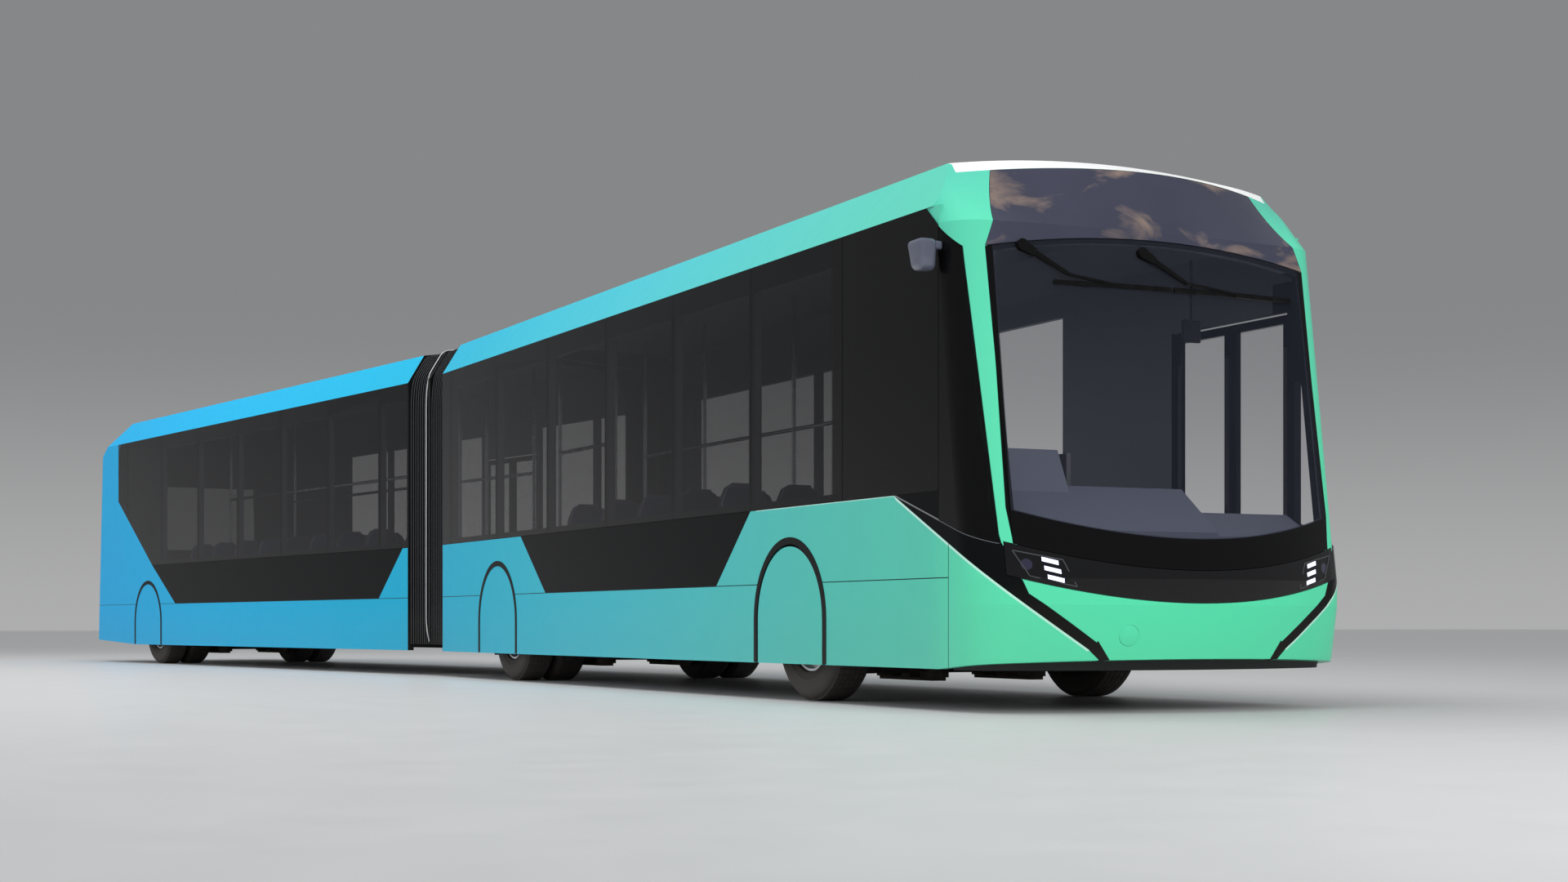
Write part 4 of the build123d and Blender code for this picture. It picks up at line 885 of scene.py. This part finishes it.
# The crest of every fold takes the lighter finish, as a painted highlight along the ridge.
for face in highlighted_crests:
    face.material_index = 1
bmesh.ops.solidify(shape, geom=shape.faces, thickness=CLOTH)
bellows = new_piece("bellows_cloth", shape, "fabric_black", None, replaces=("bellows",))
bellows.data.materials.append(FINISHES["crest_painted_highlight"])
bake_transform(bellows)

# %% The pale hoop in the middle of the bellows
finish("pale_rubber", (196, 198, 200), 0.5, grain=200.0, dust=0.2)
HOOP_HALF = 0.007
HOOP_THICK = 0.006
HOOP_SHARE = 0.56
HOOP_LOW, FOOT_TOP = 0.33, 0.56
FOOT_REACH = 0.10
shape = bmesh.new()
ring = []
for point in body_outline(0.0, HOOP_LOW, wall_steps=24):
    foot = max(0.0, (FOOT_TOP - point[1]) / (FOOT_TOP - HOOP_LOW))
    forward = Vector((HOOP_HALF + FOOT_REACH * foot ** 2, 0, 0))
    ring.append(bent_place(HOOP_SHARE, *point) + forward)
_, edges = add_chain(shape, ring)
bmesh.ops.translate(shape, vec=(-2 * HOOP_HALF, 0.0, 0.0), verts=grow(shape, edges)[0])
thicken(shape, -HOOP_THICK)
hoop_trim = new_piece("bellows_hoop_trim", shape, "pale_rubber", None)
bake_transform(hoop_trim)

# %% [markdown]
# ## Tyres and wheel nuts
# A tyre is turned round its axle, so its section is drawn once and spun. The tread starts
# as smooth ribs, and an inset with a depth raises every face into a block of its own.

# %% Tyre
AXLE_Z = 0.478
TREAD_BASE = 0.469
TREAD_RISE = 0.009
SPIN_STEPS = 64
SIDEWALL = (
    (0.289, 0.104), (0.296, 0.117), (0.312, 0.1245), (0.338, 0.130), (0.342, 0.1335),
    (0.347, 0.1335), (0.351, 0.1315), (0.385, 0.1365), (0.410, 0.1365), (0.432, 0.1325),
    (0.450, 0.1245), (0.462, 0.114),
)
RIBS = (0.099, 0.058, 0.019)
finish("brown_rubber", (42, 37, 38), 0.72, grain=260.0, unevenness=0.2, dust=0.22, bump=0.0008)


def tyre_mesh():
    """One tyre with its axle along Y through the origin."""
    shape = bmesh.new()
    side = [*SIDEWALL, *[(TREAD_BASE, y) for y in RIBS]]
    points = side + [(r, -y) for r, y in reversed(side)]
    chain, edges = add_chain(shape, [(0.0, y, r) for r, y in points])
    bmesh.ops.spin(
        shape, geom=chain + edges, cent=(0, 0, 0), axis=(0, 1, 0), angle=2 * math.pi,
        steps=SPIN_STEPS, use_merge=True,
    )
    bmesh.ops.remove_doubles(shape, verts=shape.verts, dist=1e-5)
    tread = [
        f for f in shape.faces
        if all((v.co.x ** 2 + v.co.z ** 2) ** 0.5 > TREAD_BASE - 0.001 for v in f.verts)
    ]
    holes = [e for e in shape.edges if e.is_boundary]
    bmesh.ops.bridge_loops(shape, edges=holes)
    bmesh.ops.recalc_face_normals(shape, faces=shape.faces)
    bmesh.ops.inset_individual(shape, faces=tread, thickness=0.0045, depth=TREAD_RISE)
    return as_mesh("tyre", shape)


tyre = tyre_mesh()
shape = bmesh.new()
for sides, base, tip, depth in ((6, 0.016, 0.016, 0.022), (8, 0.010, 0.009, 0.027)):
    bmesh.ops.create_cone(
        shape, cap_ends=True, segments=sides, radius1=base, radius2=tip, depth=depth,
        matrix=Matrix.Rotation(math.pi / 2, 4, "X"),
    )
nut = as_mesh("nut", shape)
TYRE_WIDTH = 0.275
TWIN_PITCH = 0.305
TYRE_OUTER = 1.150
TWINS = (0.0, TWIN_PITCH)
WHEELS = {
    "front": (FRONT, "wheel", "tyre", (0.0,), 0.075),
    "middle": (FRONT, "wheels", "tyres", TWINS, 0.185),
    "rear": (REAR, "wheels", "tyres", TWINS, 0.185),
}
NUT_CIRCLE = 0.135
NUTS = 10
for axle, (matrix, body_word, node_word, setbacks, disc) in WHEELS.items():
    x = AXLE_X[axle]
    for side_name, side in (("left", 1), ("right", -1)):
        shape = bmesh.new()
        for setback in setbacks:
            y = side * (TYRE_OUTER - TYRE_WIDTH / 2 - setback)
            add_copy(shape, tyre, Matrix.Translation((x, y, AXLE_Z)))
        body = f"{axle}_{side_name}_{body_word}"
        piece = new_piece(
            f"{axle}_{side_name}_treads", shape, "brown_rubber", body, matrix,
            replaces=(f"{axle}_{side_name}_{node_word}",),
        )
        sharpen(piece, 30.0)
        shape = bmesh.new()
        for k in range(NUTS):
            turn = math.radians((k + 0.5) * 360.0 / NUTS)
            across, up = NUT_CIRCLE * math.cos(turn), NUT_CIRCLE * math.sin(turn)
            spot = (x + across, side * (TYRE_OUTER - disc), AXLE_Z + up)
            add_copy(shape, nut, Matrix.Translation(spot))
        piece = new_piece(f"{axle}_{side_name}_nuts", shape, "alloy", body, matrix, smooth=False)

# %% [markdown]
# ## Seats
# A bus seat is a moulded shell with thin upholstered pads. One pad starts as a cube cut
# in a fine grid; its faces are crowned, its corners smoothed, and the back narrows to a
# round top. The same two pads are then set down along every row.

# %% Seat pads
finish(
    "seat_cloth", (28, 30, 64), 0.85, grain=600.0, unevenness=0.25, dust=0.0,
    bump=0.0006, Sheen_Weight=0.3,
)
finish("shell_grey", (52, 54, 60), 0.5, grain=150.0, dust=0.05)
FLOOR_Z = 0.36
SEAT_Y = 0.985
SEAT_PITCH = 0.44
ROW_PITCH = 0.76


def pad_mesh(name, length, width, thick, crown, round_top=0.0, cuts=5):
    """A crowned pad, flat underneath, whose far end narrows to a rounded top."""
    shape = bmesh.new()
    bmesh.ops.create_cube(shape, size=2.0)
    bmesh.ops.subdivide_edges(shape, edges=shape.edges, cuts=cuts, use_grid_fill=True)
    for vert in shape.verts:
        u, v, w = vert.co
        bulge = (1.0 - u * u) * (1.0 - v * v)
        narrow = 1.0 - round_top * max(0.0, u) ** 3
        vert.co = Vector((
            u * length / 2.0, v * width / 2.0 * narrow * (0.95 + 0.05 * w * w),
            w * thick / 2.0 + (crown * bulge if w > 0 else 0.0),
        ))
    for _ in range(2):
        bmesh.ops.smooth_vert(
            shape, verts=shape.verts, factor=0.5,
            use_axis_x=True, use_axis_y=True, use_axis_z=True,
        )
    return as_mesh(name, shape)


def seat_back_matrix(x, y, offset):
    """The place of a back: it leans rearwards as it rises."""
    foot, head = Vector((x - 0.005, y, 0.80)), Vector((x - 0.100, y, 1.485))
    along = (head - foot).normalized()
    forward = Vector((0.0, 1.0, 0.0)).cross(along).normalized()
    across = forward.cross(along)
    turn = Matrix((along, across, forward)).transposed().to_4x4()
    return Matrix.Translation((foot + head) / 2.0 + forward * offset) @ turn


def seat_rows(side, first, count):
    """Side and station of each row of a block of seats."""
    return [(side, first - ROW_PITCH * k) for k in range(count)]


SEAT_ROWS = {
    "front_section": seat_rows(-1, -1.25, 5) + seat_rows(1, -1.33, 1) + seat_rows(1, -4.0, 2),
    "rear_section": seat_rows(-1, -9.8, 8) + seat_rows(1, -9.8, 1) + seat_rows(1, -12.7, 4),
}
cushion = pad_mesh("cushion", 0.40, 0.405, 0.05, 0.022)
back = pad_mesh("back", 0.67, 0.40, 0.035, 0.02, round_top=0.38)
back_shell = pad_mesh("back_shell", 0.685, 0.415, 0.022, 0.0, round_top=0.38)
for section, matrix in SECTIONS.items():
    pads, shells = bmesh.new(), bmesh.new()
    for side, x in SEAT_ROWS[section]:
        seat_y = [side * SEAT_Y, side * (SEAT_Y - SEAT_PITCH)]
        for y in seat_y:
            add_copy(pads, cushion, Matrix.Translation((x + 0.225, y, 0.795)))
            add_copy(pads, back, seat_back_matrix(x, y, 0.012))
            add_copy(shells, back_shell, seat_back_matrix(x, y, -0.022))
            add_block(shells, (x + 0.02, y - 0.205, 0.735), (x + 0.42, y + 0.205, 0.765), 0.012)
        inner, outer = sorted((side * 1.19, side * 0.345))
        add_block(shells, (x + 0.09, inner, 0.665), (x + 0.29, outer, 0.735), 0.015)
        low, high = sorted((side * 0.66, side * 0.74))
        add_block(shells, (x + 0.14, low, FLOOR_Z), (x + 0.24, high, 0.68), 0.02)
        for y in seat_y:
            add_rod(shells, (x - 0.085, y - 0.09, 1.475), (x - 0.085, y + 0.09, 1.475), 0.011, 8)
    end = section.removesuffix("_section")
    seats = (f"{end}_seats",)
    piece = new_piece(f"{end}_seat_pads", pads, "seat_cloth", section, matrix, replaces=seats)
    piece = new_piece(f"{end}_seat_shells", shells, "shell_grey", section, matrix, replaces=seats)
    sharpen(piece)

# %% The driver's seat
shape, base = bmesh.new(), bmesh.new()
DRIVER_Y = -0.74
flip = Matrix.Rotation(math.pi, 4, "X")
squab = pad_mesh("squab", 0.46, 0.46, 0.09, 0.03, cuts=7)
tall_back = pad_mesh("tall_back", 0.64, 0.45, 0.10, 0.03, round_top=0.25, cuts=7)
head_pad = pad_mesh("head_pad", 0.20, 0.26, 0.09, 0.02)
add_copy(shape, squab, Matrix.Translation((1.24, DRIVER_Y, 1.055)))
for mesh, x, height, lean in ((tall_back, 1.0, 1.40, -98.0), (head_pad, 0.955, 1.71, -95.0)):
    turn = Matrix.Rotation(math.radians(lean), 4, "Y") @ flip
    add_copy(shape, mesh, Matrix.Translation((x, DRIVER_Y, height)) @ turn)
seat = ("driver_seat",)
piece = new_piece("driver_seat_pads", shape, "seat_cloth", replaces=seat)
add_block(base, (1.02, DRIVER_Y - 0.2, 0.97), (1.44, DRIVER_Y + 0.2, 1.01), 0.015)
add_rod(base, (1.23, DRIVER_Y, 0.61), (1.23, DRIVER_Y, 0.98), 0.09)
add_block(base, (1.05, DRIVER_Y - 0.17, 0.60), (1.42, DRIVER_Y + 0.17, 0.64), 0.012)
piece = new_piece("driver_seat_base", base, "shell_grey", replaces=seat)
sharpen(piece)

# %% [markdown]
# ## Trim on the outside
# Rubber lines the wheel arches, a painted cap closes the towing socket in the bumper, and
# two wiper arms lie on the top of the screen. The nose is curved both ways, so a small
# function finds a point on it from a height and a distance to the side.

# %% A point on the nose
NOSE = (
    (0.300, 2.625, 0.309), (0.600, 2.675, 0.309), (0.745, 2.675, 0.309),
    (2.760, 2.203, 0.080), (3.136, 2.066, 0.400),
)


def nose_spot(y, height, proud=0.0):
    """A point on the nose, or in front of it, and the way that the nose faces there."""
    def surface(y, height):
        low, high = next((a, b) for a, b in zip(NOSE, NOSE[1:]) if height <= b[0])
        share = (height - low[0]) / (high[0] - low[0])
        reach, fall = (low[k] + (high[k] - low[k]) * share for k in (1, 2))
        radius = (SIDE_Y ** 2 + fall ** 2) / (2.0 * fall)
        return Vector((reach - radius + (radius ** 2 - y ** 2) ** 0.5, y, height))
    spot = surface(y, height)
    out = (surface(y + 0.01, height) - spot).cross(surface(y, height + 0.01) - spot).normalized()
    return spot + out * proud, out


def add_bar(shape, start, end, out, first, last=None, edge=0.0):
    """A bar between two points; each end has a width, and a height along out."""
    along = (end - start).normalized()
    across = Vector(out).cross(along).normalized()
    rise = along.cross(across)
    made = bmesh.ops.create_cube(shape, size=1.0)["verts"]
    for vert in made:
        u, v, w = vert.co
        width, height = first if u < 0 else last or first
        vert.co = (start if u < 0 else end) + across * (v * width) + rise * (w * height)
    if edge:
        round_edges(shape, list({e for v in made for e in v.link_edges}), edge)


# %% Arch rubbers
ARCH_Z = 0.524
SEAL_INNER = 0.484
SEAL_OUTER = 0.530
SEAL_Y = SIDE_Y + 0.003
SEAL_FOOT = 0.245
for axle, (matrix, *_) in WHEELS.items():
    shape = bmesh.new()
    x = AXLE_X[axle]
    for y in (SEAL_Y, -SEAL_Y):
        ends, edge = add_chain(shape, [(x + r, y, ARCH_Z) for r in (SEAL_INNER, SEAL_OUTER)])
        spun = bmesh.ops.spin(
            shape, geom=ends + edge, cent=(x, y, ARCH_Z), axis=(0, 1, 0), angle=-math.pi, steps=28
        )["geom_last"]
        for start in (edge, [g for g in spun if isinstance(g, bmesh.types.BMEdge)]):
            legs = grow(shape, start)[0]
            bmesh.ops.translate(shape, vec=(0.0, 0.0, SEAL_FOOT - ARCH_Z), verts=legs)
    thicken(shape, 0.005)
    body = "rear_section" if axle == "rear" else "front_section"
    piece = new_piece(f"{axle}_arch_rubbers", shape, "satin_black", body, matrix, smooth=False)

# %% Towing cap
TOW_SPOT = (-0.450, 0.430)
CAP_RADIUS, CAP_HALF = 0.0602, 0.007
shape = bmesh.new()
spot, out = nose_spot(*TOW_SPOT, proud=-CAP_HALF)
add_rod(shape, spot - out * CAP_HALF, spot + out * CAP_HALF, CAP_RADIUS, 40)
round_edges(shape, [e for e in shape.edges if e.calc_face_angle(0.0) > 1.0], 0.001)
sharpen(new_piece("towing_cap", shape, "front_paint"))

# %% Wipers
shape = bmesh.new()
WIPER_ARMS = ((-0.891, -0.617, -0.715, 0.058), (-0.111, 0.163, 0.075, 0.960))
PIVOT_Z, ELBOW_Z, BLADE_Z = 2.620, 2.462, 2.417
SHOULDER_SHARE = 0.28
BLADE_STEPS = 6
for pivot, elbow, low, high in WIPER_ARMS:
    foot, out = nose_spot(pivot, PIVOT_Z, 0.018)
    add_rod(shape, foot - out * 0.014, foot + out * 0.015, 0.034, 20)
    shoulder_y = pivot + (elbow - pivot) * SHOULDER_SHARE
    shoulder_z = PIVOT_Z + (ELBOW_Z - PIVOT_Z) * SHOULDER_SHARE
    shoulder, _ = nose_spot(shoulder_y, shoulder_z, 0.020)
    tip, _ = nose_spot(elbow, ELBOW_Z, 0.022)
    add_bar(shape, foot, shoulder, out, (0.068, 0.030), (0.048, 0.026), 0.007)
    add_bar(shape, shoulder, tip, out, (0.034, 0.016), (0.024, 0.012), 0.003)
    middle, _ = nose_spot((low + high) / 2, BLADE_Z + 0.004, 0.020)
    add_bar(shape, tip, middle, out, (0.018, 0.012), (0.016, 0.012), 0.003)
    stations = [low + (high - low) * k / BLADE_STEPS for k in range(BLADE_STEPS + 1)]
    spots = [nose_spot(y, BLADE_Z, 0.009) for y in stations]
    for (a, out_a), (b, _) in zip(spots, spots[1:]):
        lift = out_a * 0.007
        add_bar(shape, a, b, out_a, (0.007, 0.010))
        add_bar(shape, a + lift, b + lift, out_a, (0.028, 0.008), edge=0.002)
piece = new_piece("wiper_arms", shape, "satin_black", replaces=("wipers",))
sharpen(piece)

# %% Headlamp frames
LAMP_CORNERS = ((1.096, 0.899), (0.832, 0.847), (0.764, 0.699), (1.015, 0.758))
shape = bmesh.new()
for side in (-1, 1):
    spots = [nose_spot(side * y, z, 0.0015) for y, z in LAMP_CORNERS]
    for (a, out), (b, _) in zip(spots, spots[1:] + spots[:1]):
        add_bar(shape, a, b, out, (0.006, 0.004), edge=0.001)
sharpen(new_piece("headlamp_frames", shape, "trim_grey"))

# %% [markdown]
# ## The camera pods
# In place of mirrors the bus has a camera housing on each side of the cab: a smooth
# wedge on a short arm, with dark eyes that look back along the side.

# %% Camera pods
POD_LOW, POD_HIGH = 2.480, 2.665
POD_TAPER = 0.09
POD_HALF = 0.082
POD_REACH = 0.162
shape, eyes = bmesh.new(), bmesh.new()
for side, x in ((-1, 1.925), (1, 1.685)):
    near, far = sorted((side * (SIDE_Y + 0.045), side * (SIDE_Y + POD_REACH)))
    low, high = (x - POD_HALF, near, POD_LOW + 0.004), (x + POD_HALF, far, POD_HIGH - 0.004)
    for vert in add_block(shape, low, high, 0.030, 4):
        low_share = max(0.0, (POD_LOW + POD_TAPER - vert.co.z) / POD_TAPER)
        vert.co.x -= 0.030 * low_share * (1.0 if vert.co.x > x else -1.0)
        vert.co.y -= side * 0.020 * low_share * (abs(vert.co.y) - SIDE_Y) / POD_REACH
    near, far = sorted((side * (SIDE_Y - 0.002), side * (SIDE_Y + 0.07)))
    low, high = (x - 0.045, near, POD_HIGH - 0.060), (x + 0.055, far, POD_HIGH - 0.012)
    add_block(shape, low, high, 0.014, 3)
    for height, radius in ((POD_HIGH - 0.060, 0.024), (POD_HIGH - 0.115, 0.017)):
        eye = Vector((x - 0.078, side * (SIDE_Y + 0.105), height))
        add_rod(eyes, eye, eye + Vector((-0.006, 0, 0)), radius, 24)
piece = new_piece("pod_housings", shape, "pod_grey", replaces=("camera_pods",))
sharpen(piece, 50.0)
sharpen(new_piece("pod_eyes", eyes, "gloss_black"))

# %% [markdown]
# ## The rear lamps
# Round stop, turn and reversing lamps stand in an upright row at each corner of the tail,
# on a gloss black plate, and a blank panel marks the place of the number plate.

# %% Rear lamps
def tail_spot(y, height, proud=0.0):
    """A point on the tail's face, which leans forward as it rises."""
    reach = -18.760 + (height - 0.150) * 0.0714
    radius = (SIDE_Y ** 2 + 0.06 ** 2) / 0.12
    return Vector((reach + radius - (radius ** 2 - y ** 2) ** 0.5 - proud, y, height))


TAIL_OUT = Vector((-1.0, 0.0, 0.0714)).normalized()
LAMP_Y = 0.955
LENSES = {"red": (150, 14, 18), "amber": (214, 110, 20), "clear": (205, 208, 214)}
for label, shade in LENSES.items():
    finish(f"{label}_lens", shade, 0.12, grain=400.0, dust=0.1, bump=0.0008, Coat_Weight=0.8)
finish("plate_blank", (205, 206, 204), 0.45, grain=120.0)
plates = bmesh.new()
for side in (-1, 1):
    low, high = tail_spot(side * LAMP_Y, 0.92, 0.002), tail_spot(side * LAMP_Y, 1.62, 0.002)
    add_bar(plates, low, high, TAIL_OUT, (0.17, 0.010), edge=0.004)
piece = new_piece("tail_lamp_plates", plates, "gloss_black", "rear_section")
sharpen(piece)
LAMP_ROWS = {"red": (1.00, 1.40), "amber": (1.54,), "clear": (1.14,), "upper_red": (1.27,)}
for label, heights in LAMP_ROWS.items():
    shape = bmesh.new()
    for side in (-1, 1):
        for height in heights:
            base = tail_spot(side * LAMP_Y, height, 0.006)
            for radius, rise in ((0.055, 0.006), (0.048, 0.011)):
                add_rod(shape, base, base + TAIL_OUT * rise, radius, 28)
    lens = label.removeprefix("upper_") + "_lens"
    piece = new_piece(f"tail_{label}_lenses", shape, lens, "rear_section")
    sharpen(piece)
shape = bmesh.new()
low, high = tail_spot(0.0, 0.60, 0.001), tail_spot(0.0, 0.715, 0.001)
add_bar(shape, low, high, TAIL_OUT, (0.53, 0.008), edge=0.003)
piece = new_piece("rear_plate_blank", shape, "plate_blank", "rear_section")
sharpen(piece)

# %% [markdown]
# ## Inside the cab
# The driver's mirror hangs from the header of the screen on a short stalk.

# %% Interior mirror
shape = bmesh.new()
add_block(shape, (2.075, 0.285, 2.155), (2.100, 0.415, 2.290), 0.010, 3)
add_rod(shape, (2.088, 0.350, 2.285), (2.088, 0.350, 2.640), 0.008, 12)
piece = new_piece("cab_mirror", shape, "satin_black")
sharpen(piece)

# %% [markdown]
# ## The studio
# A pale floor before a plain backdrop that darkens a little upwards. The world gives
# most of the light, and three large panels give the roof, side and nose their shape.

# %% Floor and world
FLOOR_HALF = 170.0
BACKDROP_RISE = (-0.01, 0.14)
sheet = bmesh.new()
bmesh.ops.create_grid(sheet, x_segments=1, y_segments=1, size=FLOOR_HALF)
floor = add_object("studio_floor", as_mesh("studio_floor", sheet))
finish("floor_finish", (192, 193, 194), 0.42, grain=3.0, unevenness=0.0, dust=0.0, bump=0.0)
floor.data.materials.append(FINISHES["floor_finish"])
world = bpy.data.worlds.new("studio")
bpy.context.scene.world = world
world.use_nodes = True
tree = world.node_tree
backdrop = tree.nodes["Background"]
rays = tree.nodes.new("ShaderNodeLightPath").outputs
seen = most(*[Field(rays[f"Is {kind} Ray"]) for kind in ("Camera", "Glossy", "Transmission")])
upward = parts(node(tree, "TexCoord", out="Generated"))[2]
high_up = node(
    tree, "MapRange", (upward, *BACKDROP_RISE, 0.0, 1.0),
    interpolation_type="SMOOTHSTEP",
)
paper = mixed(high_up, srgb(198, 198, 199), srgb(153, 154, 155))
feed(mixed(seen, (1.0, 1.0, 1.0, 1.0), paper), backdrop.inputs["Color"])
backdrop.inputs["Strength"].default_value = 0.75


def soft_panel(name, place, target, width, height, watts):
    """A large soft lamp that faces a target."""
    light = bpy.data.lights.new(name, "AREA")
    light.shape = "RECTANGLE"
    light.size, light.size_y = width, height
    light.energy = watts
    lamp = add_object(name, light)
    lamp.location = FRONT @ Vector(place)
    aim = (FRONT @ Vector(target)) - lamp.location
    lamp.rotation_euler = aim.to_track_quat("-Z", "Y").to_euler()
    lamp.visible_glossy = False
    return lamp


soft_panel("roof_light", (-8.0, -3.0, 11.0), (-8.0, -0.5, 1.0), 24.0, 7.0, 1650.0)
soft_panel("side_light", (-8.0, -13.0, 4.5), (-9.0, 0.0, 1.4), 26.0, 5.0, 470.0)
soft_panel("nose_light", (12.0, -1.0, 4.5), (2.0, 0.0, 1.2), 6.0, 5.0, 480.0)
bpy.context.scene.view_settings.view_transform = "Standard"
print("studio lit")
